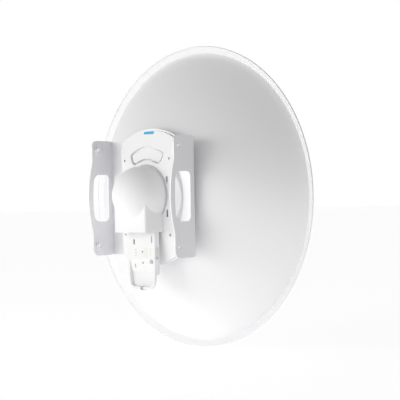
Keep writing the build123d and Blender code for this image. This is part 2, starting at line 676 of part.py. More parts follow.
# ---- hub and feed ---------------------------------------------------------------------------
def build_clamp_ring():
    ring = tube(CLAMP_RING_OUTER, CLAMP_RING_INNER, RING_FRONT, SEAT_FRONT)
    for x, z in hub_bolt_places():
        ring -= rod(HUB_BOLT_R + SCREW_GAP, RING_FRONT - 1, SEAT_FRONT + 1, x, z)
    return ring


def build_hub_bolts():
    head_back = RING_FRONT - WASHER_SHEET
    end = WEB_BACK + WASHER_SHEET + HEX_NUT + BOLT_END
    bolts = []
    for x, z in hub_bolt_places():
        head = hexagon(HEX_FLATS, head_back - HEX_HEAD, head_back, x, z)
        bolts.append(head + rod(HUB_BOLT_R, head_back, end, x, z))
    return group(bolts)


def build_hub_nuts():
    front = WEB_BACK + WASHER_SHEET
    bore = HUB_BOLT_R + 0.05
    return group(
        hexagon(HEX_FLATS, front, front + HEX_NUT, x, z) - rod(bore, front - 1, front + HEX_NUT + 1, x, z)
        for x, z in hub_bolt_places()
    )


def build_hub_washers():
    washers = []
    for front in (RING_FRONT - WASHER_SHEET, WEB_BACK):
        for x, z in hub_bolt_places():
            washers.append(tube(WASHER_R, HUB_BOLT_R + SCREW_GAP, front, front + WASHER_SHEET, x, z))
    return group(washers)


def build_hub_collar():
    inner = TUBE_RADIUS + SEAT_GAP
    front = aft(-HUB_COLLAR_FRONT)
    sleeve = tube(DISH_BORE - SEAT_GAP, inner, front, aft(HUB_COLLAR_BACK))
    flange = tube(CLAMP_RING_INNER - SEAT_GAP, inner, RING_FRONT, SEAT_FRONT)
    groove_front = front + SEAL_SETBACK
    groove = tube(inner + SEAL_SECTION, inner - THROUGH, groove_front, groove_front + SEAL_SECTION)
    return sleeve + flange - groove


def build_feed_seal():
    slack = SEAT_GAP / 3
    front = aft(-HUB_COLLAR_FRONT) + SEAL_SETBACK + slack
    outer = TUBE_RADIUS + SEAT_GAP + SEAL_SECTION - slack
    return tube(outer, TUBE_RADIUS + slack, front, front + SEAL_SECTION - 2 * slack)


def tail_screw_places():
    """X and Z of the screws between the tail plate and the feed tube."""
    return [polar(TUBE_INNER - TAIL_SCREW_INSET, 45 + 90 * k) for k in range(4)]


def build_feed_tube():
    inner = TUBE_INNER
    back = aft(TAIL_FRONT)
    body = tube(TUBE_RADIUS, inner, aft(-TUBE_FRONT), back)
    body += tube(inner, inner - TUBE_FLANGE_REACH, back - TUBE_FLANGE, back)
    rails = block(-inner, inner, aft(-RAIL_FRONT), aft(RAIL_BACK), RAIL_TOP - RAIL_SHEET, RAIL_TOP)
    gap = inner - RAIL_REACH
    rails -= block(-gap, gap, aft(-RAIL_FRONT - THROUGH), aft(RAIL_BACK + THROUGH),
                   RAIL_TOP - RAIL_SHEET - THROUGH, RAIL_TOP + THROUGH)
    body += rails & rod(inner, aft(-RAIL_FRONT), aft(RAIL_BACK))
    for x, z in tail_screw_places():
        body -= rod(TAIL_SCREW_R + SCREW_GAP / 5, back - TUBE_FLANGE - THROUGH, back + THROUGH, x, z)
    return body


def cap_meridian(head, small, tip, back, curve):
    """Half of the cap's section: sleeve of radius small, cone, head of radius head, round nose."""
    start, length = CAP_SHOULDER
    shoulder = aft(-TUBE_FRONT - start)
    return make_face([
        Polyline((0, back), (small, back), (small, shoulder), (head, shoulder - length), (head, tip + curve)),
        RadiusArc((head, tip + curve), (head - curve, tip), curve),
        Polyline((head - curve, tip), (0, tip), (0, back)),
    ])


def build_feed_cap():
    """A thin cap over the tube's front end: a sleeve, a wider head and a round nose."""
    rear = aft(-TUBE_FRONT + CAP_SLEEVE)
    nose = aft(-TUBE_FRONT - CAP_LENGTH)
    bore = TUBE_RADIUS + SEAT_GAP
    outer = revolve(cap_meridian(CAP_RADIUS, bore + CAP_WALL, nose, rear, CAP_NOSE_RADIUS), Axis.Y)
    head = CAP_RADIUS - CAP_WALL
    room = cap_meridian(head, bore, nose + CAP_WALL, rear + THROUGH, CAP_NOSE_RADIUS - CAP_WALL)
    return outer - revolve(room, Axis.Y)


def build_radiator_board():
    return rod(TUBE_RADIUS, aft(-RADIATOR_FRONT), aft(-RADIATOR_FRONT + BOARD_SHEET))


def build_feed_post():
    return rod(POST_R, aft(-REFLECTOR_FRONT + REFLECTOR_SHEET), aft(-RADIATOR_FRONT))


def build_sub_reflector():
    front = aft(-REFLECTOR_FRONT)
    lean = front + REFLECTOR_DISH
    back = front + REFLECTOR_SHEET
    edge = CAP_RADIUS - CAP_WALL - REFLECTOR_ROOM
    flat = edge - REFLECTOR_SLOPE
    section = Polyline(
        (0, front), (flat, front), (edge, lean),
        (edge, lean + REFLECTOR_SHEET), (flat - REFLECTOR_SHEET / 2, back),
        (0, back), (0, front),
    )
    return revolve(make_face(section), Axis.Y)


def build_radio_board():
    half = TUBE_INNER - RADIO_BOARD_ROOM
    return block(-half, half, aft(-RADIO_BOARD_FRONT), aft(RADIO_BOARD_BACK), RAIL_TOP, RAIL_TOP + BOARD_SHEET)


def build_shield_can():
    base = RAIL_TOP + BOARD_SHEET
    front, back = (aft(-end) for end in CAN_SPAN)
    half = TUBE_INNER - CAN_ROOM
    shell = block(-half, half, front, back, base, base + CAN_RISE)
    half -= CAN_SHEET
    roof = base + CAN_RISE - CAN_SHEET
    return shell - block(-half, half, front + CAN_SHEET, back - CAN_SHEET, base - THROUGH, roof)


def build_heat_spreader():
    front, back = (aft(-end) for end in SPREADER_SPAN)
    foot = RAIL_TOP - SPREADER_BASE
    half = TUBE_INNER - SPREADER_ROOM
    plate = block(-half, half, front, back, foot, RAIL_TOP)
    pitch = 2 * (half - SPREADER_EDGE) / (SPREADER_FINS - 1)
    thick = SPREADER_FIN_SHEET / 2
    for k in range(SPREADER_FINS):
        x = k * pitch - half + SPREADER_EDGE
        plate += block(x - thick, x + thick, front, back, foot - SPREADER_FIN, foot)
    return plate


# ---- tail body ------------------------------------------------------------------------------
def tail_outline(inset=0.0, bottom=TONGUE_TOP):
    """The tail above its shoulders: a half disc on a rectangle."""
    half = TAIL_HALF_WIDTH - inset
    low = bottom + inset
    return Circle(half) + Pos(0, low / 2) * Rectangle(2 * half, -low)


def tongue_outline(inset=0.0):
    """The narrow lower end, with round corners."""
    high = TONGUE_TOP + 10
    half = TONGUE_HALF_WIDTH - inset
    face = Pos(0, (high + TAIL_BOTTOM + inset) / 2) * Rectangle(2 * half, high - TAIL_BOTTOM - inset)
    low = [v for v in face.vertices() if v.Y < TONGUE_TOP]
    return fillet(low, TONGUE_CORNER)


def ramp():
    """What the tongue's sloping back face takes away, in Y and Z."""
    back = aft(TAIL_BACK)
    past = back + RAMP_DROP
    foot = TAIL_BOTTOM - RAMP_DROP
    return make_face(
        Polyline(
            (back, TONGUE_TOP), (back - RAMP_DROP, TAIL_BOTTOM), (back - RAMP_DROP, foot),
            (past, foot), (past, TONGUE_TOP), (back, TONGUE_TOP),
        )
    )


def pocket_shell(grow):
    """The finger pocket in the tail's right side wall, larger by grow on its closed sides."""
    side = TAIL_HALF_WIDTH
    low, high = SIDE_POCKET_Z
    near, far = SIDE_POCKET
    outer = side + THROUGH if grow == 0 else side - TAIL_WALL / 2
    inner = side - SIDE_POCKET_IN - grow
    return block(inner, outer, aft(near - grow), aft(far + grow), low - grow, high + grow)


def build_tail_body():
    front = aft(TAIL_FRONT)
    back = aft(TAIL_BACK)
    well = front + FACE_WELL
    past = back + THROUGH
    body = slab(tail_outline() + tongue_outline(), front, back)
    body -= cheek(ramp(), -TAIL_HALF_WIDTH - THROUGH, TAIL_HALF_WIDTH + THROUGH)
    body -= slab(tail_outline(TAIL_WALL), front - THROUGH, back - TAIL_WALL)
    boss = rod(GROUND_BOSS_R, front + GROUND_SUNK, back - GROUND_SUNK, GROUND_X, GROUND_Z)
    body += boss
    wall = TONGUE_HALF_WIDTH
    rail_front, rail_back = COVER_RAIL
    groove = block(
        wall - COVER_RAIL_HIGH - RUN_GAP, wall + THROUGH,
        aft(rail_front - RUN_GAP), aft(rail_back + RUN_GAP),
        TAIL_BOTTOM - THROUGH, TONGUE_TOP + THROUGH,
    )
    body = body - groove - mirrored(groove)
    shell = pocket_shell(SIDE_POCKET_WALL)
    pocket = pocket_shell(0)
    body = body + shell + mirrored(shell) - pocket - mirrored(pocket)
    body += jack_box()
    body -= rod(GROUND_BOSS_R, back - GROUND_SUNK, past, GROUND_X, GROUND_Z)
    body -= rod(GROUND_R + SCREW_GAP, well, past, GROUND_X, GROUND_Z)
    for x, z in BOARD_POSTS:
        body += rod(BOARD_POST_R, aft(PORT_BOARD_FRONT + BOARD_SHEET), back - TAIL_WALL, x, z)
        body -= rod(BOARD_SCREW_R + SCREW_GAP / 5, aft(PORT_BOARD_FRONT), back - TAIL_WALL, x, z)
    body -= rod(BUTTON_R + RUN_GAP, well, past, BUTTON_X, BUTTON_Z)
    body -= rod(PORT_SCREW_HOLE_R, well, past, BUTTON_X, PORT_SCREW_Z)
    for z in lamp_heights():
        body -= rod(LAMP_R + SCREW_GAP / 2, well, past, LAMP_X, z)
    slots = [
        (VENT_X, VENT_Z, VENT_SIZE),
        (VENT_X, LOWER_SLOT_Z, LOWER_SLOT_SIZE),
        (EDGE_SLOT_INSET - TAIL_HALF_WIDTH, EDGE_SLOT_Z, EDGE_SLOT_SIZE),
    ]
    for x, z, size in slots:
        body -= slab(Pos(x, z) * SlotOverall(*size, rotation=90), well, past)
    body -= slab(label_outline(SCREW_GAP), back - LABEL_THICK, past)
    rib = RIB_INSET - TAIL_HALF_WIDTH
    return body + block(rib, rib + RIB_SHEET, back - THROUGH, back + RIB_PROUD, *RIB_Z)


def jack_box():
    """The housing round the Ethernet socket, on the tail's back face under the hood."""
    half = JACK_HALF_WIDTH + SEAT_GAP
    front = aft(TAIL_BACK + JACK_STAND)
    back = front + JACK_DEPTH + SEAT_GAP
    top = JACK_MOUTH + JACK_LENGTH + SEAT_GAP
    wall = JACK_BOX_WALL
    foot = aft(TAIL_BACK) - THROUGH
    box = block(-half - wall, half + wall, foot, back + wall, JACK_MOUTH, top + wall)
    return box - block(-half, half, front, back, JACK_MOUTH - THROUGH, top)


def label_outline(grow=0.0):
    """The label's rounded rectangle in X and Z."""
    x0, x1 = LABEL_X
    z0, z1 = LABEL_Z
    shape = RectangleRounded(x1 - x0 + 2 * grow, z1 - z0 + 2 * grow, LABEL_CORNER + grow)
    return Pos((x0 + x1) / 2, (z0 + z1) / 2) * shape


def lamp_heights():
    """Z of the signal lamps, top to bottom."""
    return [LAMP_TOP - LAMP_PITCH * k for k in range(LAMP_COUNT)]


def build_label():
    back = aft(TAIL_BACK)
    return slab(label_outline(), back - LABEL_THICK, back)


def build_light_pipes():
    front = aft(PORT_BOARD_FRONT + BOARD_SHEET + LAMP_CLEAR)
    return group(rod(LAMP_R, front, aft(TAIL_BACK + LAMP_PROUD), LAMP_X, z) for z in lamp_heights())


def build_tail_plate():
    front = aft(TAIL_FRONT)
    back = front + TAIL_PLATE
    plate = slab(tail_outline(TAIL_WALL + SCREW_GAP), front, back)
    plate -= rod(TUBE_INNER - TUBE_FLANGE_REACH - TUBE_FLANGE, front - THROUGH, back + THROUGH)
    notch = pocket_shell(SIDE_POCKET_WALL + SCREW_GAP)
    plate = plate - notch - mirrored(notch)
    for x, z in tail_screw_places():
        plate -= rod(TAIL_SCREW_R + 2 * SCREW_GAP, front - THROUGH, back + THROUGH, x, z)
    return plate


def build_tail_screws():
    seat = aft(TAIL_FRONT + TAIL_PLATE)
    head_r, head = TAIL_SCREW_HEAD
    return group(
        rod(head_r, seat, seat + head, x, z) + rod(TAIL_SCREW_R, seat - TAIL_SCREW_LENGTH, seat, x, z)
        for x, z in tail_screw_places()
    )


def build_port_board():
    front = aft(PORT_BOARD_FRONT)
    board = block(-PORT_BOARD_HALF, PORT_BOARD_HALF, front, front + BOARD_SHEET, *PORT_BOARD_Z)
    for x, z in BOARD_POSTS:
        board -= rod(BOARD_SCREW_R + SCREW_GAP, front - THROUGH, front + BOARD_SHEET + THROUGH, x, z)
    return board


def build_board_screws():
    seat = aft(PORT_BOARD_FRONT)
    head_r, head = BOARD_SCREW_HEAD
    return group(
        rod(head_r, seat - head, seat, x, z) + rod(BOARD_SCREW_R, seat, seat + BOARD_SCREW_LENGTH, x, z)
        for x, z in BOARD_POSTS
    )


def build_jack():
    front = aft(TAIL_BACK + JACK_STAND)
    top = JACK_MOUTH + JACK_LENGTH
    low = JACK_MOUTH - THROUGH
    high = JACK_MOUTH + SOCKET_LENGTH
    near, far = SOCKET_SPAN
    jack = block(-JACK_HALF_WIDTH, JACK_HALF_WIDTH, front, front + JACK_DEPTH, JACK_MOUTH, top)
    jack -= block(-SOCKET_HALF, SOCKET_HALF, front + near, front + far, low, high)
    return jack - block(-LATCH_HALF, LATCH_HALF, front + far - THROUGH, front + LATCH_END, low, high)


def build_reset_switch():
    back = aft(PORT_BOARD_FRONT + BOARD_SHEET)
    left, right = BUTTON_X - SWITCH_HALF, BUTTON_X + SWITCH_HALF
    return block(left, right, back, back + SWITCH_RISE, BUTTON_Z - SWITCH_HALF, BUTTON_Z + SWITCH_HALF)


def build_reset_button():
    flange_r, flange = BUTTON_FLANGE
    front = aft(PORT_BOARD_FRONT + BOARD_SHEET + SWITCH_RISE + BUTTON_REST + BUTTON_TRAVEL)
    foot = rod(flange_r, front, front + flange, BUTTON_X, BUTTON_Z)
    return foot + rod(BUTTON_R, front, aft(TAIL_BACK - BUTTON_SUNK), BUTTON_X, BUTTON_Z)


def build_port_screw():
    seat = aft(TAIL_FRONT + FACE_WELL)
    head_r, head = PORT_SCREW_HEAD
    drive = Pos(BUTTON_X, PORT_SCREW_Z) * RegularPolygon(head_r / 2, 6)
    screw = rod(head_r, seat, seat + head, BUTTON_X, PORT_SCREW_Z)
    return screw - slab(drive, seat + head - SCREW_DRIVE_DEPTH, seat + head + THROUGH)


def build_ground_screw():
    seat = aft(TAIL_BACK - GROUND_SUNK) + GROUND_WASHER[1]
    head_r, head = GROUND_HEAD
    top = seat + head
    screw = rod(head_r, seat, top, GROUND_X, GROUND_Z)
    screw += rod(GROUND_R, seat - GROUND_LENGTH, seat, GROUND_X, GROUND_Z)
    arm = head_r * 0.6
    return screw - cross_drive(arm, arm / 2, top - SCREW_DRIVE_DEPTH, top + THROUGH, GROUND_X, GROUND_Z)


def build_ground_washer():
    front = aft(TAIL_BACK - GROUND_SUNK)
    radius, sheet = GROUND_WASHER
    return tube(radius, GROUND_R + SCREW_GAP, front, front + sheet, GROUND_X, GROUND_Z)


# ---- port cover -----------------------------------------------------------------------------
def cover_outline(inset=0.0):
    """The cover's tapered outline with round lower corners."""
    top = TONGUE_TOP - RUN_GAP
    half = TAIL_HALF_WIDTH - inset
    foot = COVER_BOTTOM + inset
    face = make_face(
        Polyline(
            (half, top), (half, TAIL_BOTTOM), (half - COVER_STEP, foot),
            (-half + COVER_STEP, foot), (-half, TAIL_BOTTOM), (-half, top), (half, top),
        )
    )
    low = [v for v in face.vertices() if abs(v.Y - foot) < 0.01]
    return fillet(low, COVER_CORNER - inset)


def arm_section():
    """One arm in Y and Z, its front face sloping back to the tray's at its foot."""
    top = TONGUE_TOP - RUN_GAP
    front, tray, back = aft(TAIL_FRONT), aft(COVER_FRONT), aft(TAIL_BACK)
    slope = ARM_FOOT - (COVER_FRONT - TAIL_FRONT)
    return make_face(
        Polyline((front, top), (back, top), (back, slope), (tray, slope), (front, ARM_FOOT), (front, top))
    )


def build_port_cover():
    front, back = aft(COVER_FRONT), aft(TAIL_BACK)
    wall = TAIL_HALF_WIDTH - COVER_ARM
    below = Pos(0, (TAIL_BOTTOM + COVER_BOTTOM) / 2) * Rectangle(BRACKET_WIDTH, TAIL_BOTTOM - COVER_BOTTOM)
    body = slab(cover_outline() & below, front, back)
    rim = body.faces().sort_by(Axis.Y)[0].edges()
    body = chamfer(rim.filter_by(lambda e: e.center().Z < TAIL_BOTTOM - 0.01), COVER_CHAMFER)
    arm = cheek(arm_section(), wall, TAIL_HALF_WIDTH) & slab(cover_outline(), aft(TAIL_FRONT), back)
    body = body + arm + mirrored(arm)
    tray = cover_outline(COVER_ARM) & Pos(0, -RUN_GAP) * below
    tray += Pos(0, TAIL_BOTTOM) * Rectangle(2 * wall, 2 * COVER_ARM)
    body -= slab(tray, front + COVER_FLOOR, back + THROUGH)
    body -= block(-wall, wall, aft(TAIL_FRONT) - THROUGH, back + THROUGH, TAIL_BOTTOM - RUN_GAP, TONGUE_TOP)
    rail = block(wall - COVER_RAIL_HIGH, wall + THROUGH, *(aft(d) for d in COVER_RAIL), COVER_RAIL_END,
                 TONGUE_TOP - COVER_RAIL_HIGH)
    body = body + rail + mirrored(rail)
    axis = back - GROMMET_SETBACK
    low, high = COVER_BOTTOM - THROUGH, COVER_BOTTOM + COVER_ARM + THROUGH
    notch = Pos(0, axis, (low + high) / 2) * Cylinder(GROMMET_R, high - low)
    return body - notch - block(-GROMMET_R, GROMMET_R, axis, back + THROUGH, low, high)


def build_grommet():
    lip, thick = GROMMET_LIP
    ring = Cylinder(GROMMET_R - SEAT_GAP / 3, COVER_ARM)
    ring += Pos(0, 0, -(COVER_ARM + thick) / 2) * Cylinder(GROMMET_R + lip, thick)
    ring -= Cylinder(GROMMET_BORE_R, 2 * (COVER_ARM + thick) + THROUGH)
    ring -= Pos(0, GROMMET_R, 0) * Box(GROMMET_SPLIT, 2 * GROMMET_R, 4 * COVER_ARM)
    return Pos(0, aft(TAIL_BACK - GROMMET_SETBACK), COVER_BOTTOM + COVER_ARM / 2) * ring


# ---- write every node -----------------------------------------------------------------------
NODES = {
    "dish_reflector": build_dish,
    "mount_bracket": build_bracket,
    "front_clamp_ring": build_clamp_ring,
    "hub_bolts": build_hub_bolts,
    "hub_nuts": build_hub_nuts,
    "hub_washers": build_hub_washers,
    "hub_collar": build_hub_collar,
    "feed_seal": build_feed_seal,
    "feed_tube": build_feed_tube,
    "feed_cap": build_feed_cap,
    "radiator_board": build_radiator_board,
    "feed_post": build_feed_post,
    "sub_reflector": build_sub_reflector,
    "radio_board": build_radio_board,
    "shield_can": build_shield_can,
    "heat_spreader": build_heat_spreader,
    "rear_housing": build_rear_housing,
    "housing_screws": build_housing_screws,
    "printed_mark": build_mark,
    "hood": build_hood,
    "tail_body": build_tail_body,
    "tail_plate": build_tail_plate,
    "tail_screws": build_tail_screws,
    "port_board": build_port_board,
    "board_screws": build_board_screws,
    "ethernet_jack": build_jack,
    "reset_switch": build_reset_switch,
    "reset_button": build_reset_button,
    "light_pipes": build_light_pipes,
    "port_label": build_label,
    "port_screw": build_port_screw,
    "ground_screw": build_ground_screw,
    "ground_washer": build_ground_washer,
    "port_cover": build_port_cover,
    "cable_grommet": build_grommet,
}

os.makedirs("parts", exist_ok=True)
for node, build in NODES.items():
    save(build(), node)
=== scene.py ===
import json
import logging
import math
from dataclasses import dataclass, field
from enum import Enum
from typing import Any, Callable, Optional, Union

import bpy
from mathutils import Matrix, Vector


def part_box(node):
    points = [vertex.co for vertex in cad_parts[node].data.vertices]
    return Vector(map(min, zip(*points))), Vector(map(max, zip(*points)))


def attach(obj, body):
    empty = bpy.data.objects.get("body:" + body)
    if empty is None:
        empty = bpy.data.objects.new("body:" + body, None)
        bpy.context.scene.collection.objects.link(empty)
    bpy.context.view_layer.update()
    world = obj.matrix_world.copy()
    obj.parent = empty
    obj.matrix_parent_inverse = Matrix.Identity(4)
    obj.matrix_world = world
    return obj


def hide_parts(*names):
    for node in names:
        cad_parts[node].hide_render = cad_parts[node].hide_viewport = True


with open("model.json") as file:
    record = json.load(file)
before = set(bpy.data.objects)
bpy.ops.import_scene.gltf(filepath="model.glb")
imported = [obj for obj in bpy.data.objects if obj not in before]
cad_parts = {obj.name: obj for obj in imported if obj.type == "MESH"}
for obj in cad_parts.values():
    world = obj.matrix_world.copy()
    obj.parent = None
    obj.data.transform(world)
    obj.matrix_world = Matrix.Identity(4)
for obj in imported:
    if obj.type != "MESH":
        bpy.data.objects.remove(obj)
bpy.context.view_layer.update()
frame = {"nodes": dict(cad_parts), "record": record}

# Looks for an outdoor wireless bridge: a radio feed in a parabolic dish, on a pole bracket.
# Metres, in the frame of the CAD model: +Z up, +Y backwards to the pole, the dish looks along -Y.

log = logging.getLogger("wireless_bridge")

Point = tuple[float, float, float]
Colour = tuple[float, float, float]
Number = Union[int, float]
MM = 0.001
ANTENNA = "antenna"
WEB_BACK = -42.0 * MM           # Y of the bracket web's back face
TAIL_BACK = 32.0                # the tail's back face, behind the web, in millimetres
NECK_HALF_WIDTH = 47.5 * MM
LAMP_COUNT = 5


# ---- shader building ------------------------------------------------------------------------
class Wire:
    """One shader value, with the arithmetic that adds Math nodes to its tree."""

    def __init__(self, tree: bpy.types.NodeTree, socket: bpy.types.NodeSocket) -> None:
        """Wrap a socket.

        Args:
            tree: The node tree that the socket belongs to.
            socket: The output socket to be read.
        """
        self.tree = tree
        self.socket = socket

    def _math(self, operation: str, *values: Union["Wire", Number]) -> "Wire":
        """Add one Math node.

        Args:
            operation: The node's operation, such as "ADD".
            values: Its inputs, in order.

        Returns:
            The node's result.
        """
        node = self.tree.nodes.new("ShaderNodeMath")
        node.operation = operation
        for place, value in enumerate(values):
            if isinstance(value, Wire):
                self.tree.links.new(value.socket, node.inputs[place])
            else:
                node.inputs[place].default_value = value
        return Wire(self.tree, node.outputs[0])

    def __add__(self, other: Union["Wire", Number]) -> "Wire":
        """Sum of two values."""
        return self._math("ADD", self, other)

    __radd__ = __add__

    def __mul__(self, other: Union["Wire", Number]) -> "Wire":
        """Product of two values."""
        return self._math("MULTIPLY", self, other)

    __rmul__ = __mul__

    def __sub__(self, other: Union["Wire", Number]) -> "Wire":
        """This value less the other."""
        return self._math("SUBTRACT", self, other)

    def __rsub__(self, other: Number) -> "Wire":
        """The other value less this one."""
        return self._math("SUBTRACT", other, self)

    def __lt__(self, other: Union["Wire", Number]) -> "Wire":
        """1 where this value is below the other, else 0."""
        return self._math("LESS_THAN", self, other)

    def __gt__(self, other: Union["Wire", Number]) -> "Wire":
        """1 where this value is above the other, else 0."""
        return self._math("GREATER_THAN", self, other)

    def absolute(self) -> "Wire":
        """The value without its sign."""
        return self._math("ABSOLUTE", self)

    def fraction(self) -> "Wire":
        """The part after the decimal point."""
        return self._math("FRACT", self)

    def floor(self) -> "Wire":
        """The whole number below."""
        return self._math("FLOOR", self)

    def ramp(self, low: float, high: float) -> "Wire":
        """0 below low, 1 above high, and smooth between.

        Args:
            low: Where the ramp starts.
            high: Where it ends.

        Returns:
            The ramped value.
        """
        node = self.tree.nodes.new("ShaderNodeMapRange")
        node.interpolation_type = "SMOOTHSTEP"
        self.tree.links.new(self.socket, node.inputs["Value"])
        node.inputs["From Min"].default_value = low
        node.inputs["From Max"].default_value = high
        return Wire(self.tree, node.outputs["Result"])


class Bench:
    """The node tree of one material or of the surroundings, built in code."""

    def __init__(self, tree: bpy.types.NodeTree) -> None:
        """Empty the tree and keep it.

        Args:
            tree: The tree to build in.
        """
        tree.nodes.clear()
        self.tree = tree

    def node(self, kind: str, settings: Optional[dict[str, Any]] = None, output: Union[int, str] = 0,
             **values: Any) -> Wire:
        """Add any node.

        Args:
            kind: The node's type, without "ShaderNode".
            settings: Its properties, set before its sockets.
            output: The output wanted, by place or name.
            values: Input sockets by name, with "_" for a space and "n3" for the input at place 3.

        Returns:
            The wanted output.
        """
        made = self.tree.nodes.new("ShaderNode" + kind)
        for key, value in (settings or {}).items():
            setattr(made, key, value)
        for key, value in values.items():
            place = int(key[1:]) if key[0] == "n" and key[1:].isdigit() else key.replace("_", " ")
            if isinstance(value, Wire):
                self.tree.links.new(value.socket, made.inputs[place])
            else:
                made.inputs[place].default_value = value
        return Wire(self.tree, made.outputs[output])

    def place(self, scale: Point = (1, 1, 1), turn: Point = (0, 0, 0), centre: Point = (0, 0, 0)) -> Wire:
        """Object coordinates in metres, centred, turned and stretched for a pattern.

        Args:
            scale: Stretch along each axis.
            turn: Turn about each axis, in radians.
            centre: The point that becomes the pattern's origin.

        Returns:
            The coordinates.
        """
        coords = self.node("TexCoord", output="Object")
        moved = self.node("VectorMath", {"operation": "SUBTRACT"}, n0=coords, n1=centre)
        return self.node("Mapping", {"vector_type": "POINT"}, Vector=moved, Rotation=turn, Scale=scale)

    def split(self, coords: Wire) -> tuple[Wire, Wire, Wire]:
        """The three parts of a vector."""
        node = self.tree.nodes.new("ShaderNodeSeparateXYZ")
        self.tree.links.new(coords.socket, node.inputs[0])
        return tuple(Wire(self.tree, node.outputs[k]) for k in range(3))

    def noise(self, scale: float, detail: float = 2.0, coords: Optional[Wire] = None, rough: float = 0.5) -> Wire:
        """Noise of about 1/scale metres, from 0 to 1.

        Args:
            scale: Features per metre.
            detail: Octaves.
            coords: Where it is read, or None for plain Object coordinates.
            rough: Strength of the finer octaves.

        Returns:
            The noise value.
        """
        return self.node("TexNoise", Vector=coords or self.place(), Scale=scale, Detail=detail, Roughness=rough)

    def cells(self, scale: float, coords: Optional[Wire] = None, feature: str = "F1",
              output: Union[int, str] = "Distance") -> Wire:
        """Cells of about 1/scale metres.

        Args:
            scale: Cells per metre.
            coords: Where they are read, or None for plain Object coordinates.
            feature: The Voronoi feature.
            output: The output wanted.

        Returns:
            That output.
        """
        return self.node("TexVoronoi", {"feature": feature}, output, Vector=coords or self.place(), Scale=scale)

    def blend(self, amount: Union[Wire, float], first: Union[Wire, Colour], second: Union[Wire, Colour]) -> Wire:
        """Mix two colours.

        Args:
            amount: 0 for the first, 1 for the second.
            first: One colour.
            second: The other.

        Returns:
            The mixed colour.
        """
        def full(colour: Union[Wire, Colour]) -> Any:
            """A colour with its alpha, or the wire itself."""
            return colour if isinstance(colour, Wire) else (*colour, 1.0)

        return self.node("Mix", {"data_type": "RGBA"}, 2, n0=amount, n6=full(first), n7=full(second))

    def bump(self, height: Wire, strength: float, depth: float, under: Optional[Wire] = None) -> Wire:
        """A normal from a height.

        Args:
            height: The height, from 0 to 1.
            strength: Share of the bump that shows.
            depth: What a height of 1 is, in metres.
            under: A coarser bump below this one.

        Returns:
            The normal.
        """
        values: dict[str, Any] = {"Height": height, "Strength": strength, "Distance": depth}
        if under is not None:
            values["Normal"] = under
        return self.node("Bump", **values)


def shade(colour: Colour, factor: float) -> Colour:
    """The colour made darker or lighter by a factor."""
    return tuple(min(c * factor, 1.0) for c in colour)


# ---- finishes -------------------------------------------------------------------------------
@dataclass(frozen=True)
class Finish:
    """What every finish has: a name, a colour and the constants of its surface."""

    name: str
    colour: Colour
    roughness: float = 0.5
    metallic: float = 0.0
    ior: float = 1.5

    def make(self) -> bpy.types.Material:
        """The finish as a material, made once.

        Returns:
            The material.
        """
        found = bpy.data.materials.get(self.name)
        if found is not None:
            return found
        material = bpy.data.materials.new(self.name)
        material.use_nodes = True
        bench = Bench(material.node_tree)
        links = {"Base Color": (*self.colour, 1.0), "Roughness": self.roughness, "Metallic": self.metallic,
                 "IOR": self.ior}
        links.update(self.paint(bench))
        surface = bench.tree.nodes.new("ShaderNodeBsdfPrincipled")
        for socket, value in links.items():
            if isinstance(value, Wire):
                bench.tree.links.new(value.socket, surface.inputs[socket])
            else:
                surface.inputs[socket].default_value = value
        out = bench.tree.nodes.new("ShaderNodeOutputMaterial")
        bench.tree.links.new(surface.outputs[0], out.inputs["Surface"])
        return material

    def paint(self, bench: Bench) -> dict[str, Any]:
        """What this kind of finish adds to the shader.

        Args:
            bench: The tree to build in.

        Returns:
            Values or wires by the shader's socket names.
        """
        return {}


@dataclass(frozen=True)
class PowderCoat(Finish):
    """Baked powder on steel: a fine orange peel, with faint clouds of tone and handling marks."""

    peel: float = 700.0

    def paint(self, bench: Bench) -> dict[str, Any]:
        """Peel, clouds and faint rubbed marks."""
        peel = bench.noise(self.peel, 1.5)
        speck = bench.noise(self.peel * 4, 1.0)
        cloud = bench.noise(7.0, 3.0)
        streak = bench.noise(60.0, 4.0, bench.place(scale=(1.0, 1.0, 0.12), turn=(0, 0.5, 0.3)))
        rubbed = streak.ramp(0.60, 0.74)
        tone = bench.blend(cloud.ramp(0.3, 0.7), shade(self.colour, 0.965), shade(self.colour, 1.015))
        tone = bench.blend(rubbed * 0.25, tone, shade(self.colour, 0.93))
        under = bench.bump(peel, 0.35, 0.00012)
        return {
            "Base Color": tone,
            "Roughness": self.roughness + 0.10 * peel - 0.06 * rubbed,
            "Normal": bench.bump(speck, 0.25, 0.00004, under),
            "Specular IOR Level": 0.45,
        }


@dataclass(frozen=True)
class BracketPaint(PowderCoat):
    """Powder coat on the folded bracket, thin on the flanges' cut edges, with near-black painted shade in their
    bolt holes.
    """

    inner_face: float = 122.5 * MM
    bore_up: float = 101.5 * MM
    bore: float = 4.4 * MM
    edge: Colour = (0.30, 0.30, 0.32)
    # steel is near-black painted shade for the walls of the bolt holes, not a metal colour
    steel: Colour = (0.06, 0.06, 0.065)

    def paint(self, bench: Bench) -> dict[str, Any]:
        """The powder, then the flanges' edges, then painted shade in the bolt holes."""
        values = super().paint(bench)
        x, y, z = bench.split(bench.place())
        _, facing, _ = bench.split(bench.node("TexCoord", output="Normal"))
        side = x.absolute() > self.inner_face - 0.1 * MM
        edges = side * (facing > 0.5)
        up = z.absolute() - self.bore_up
        # painted shade: the walls of the flanges' bolt holes are coloured near-black
        bore_shade_mask = (x.absolute() > self.inner_face - 6 * MM) * ((y * y + up * up) < self.bore**2)
        tone = bench.blend(edges, values["Base Color"], self.edge)
        values["Base Color"] = bench.blend(bore_shade_mask, tone, self.steel)
        return values


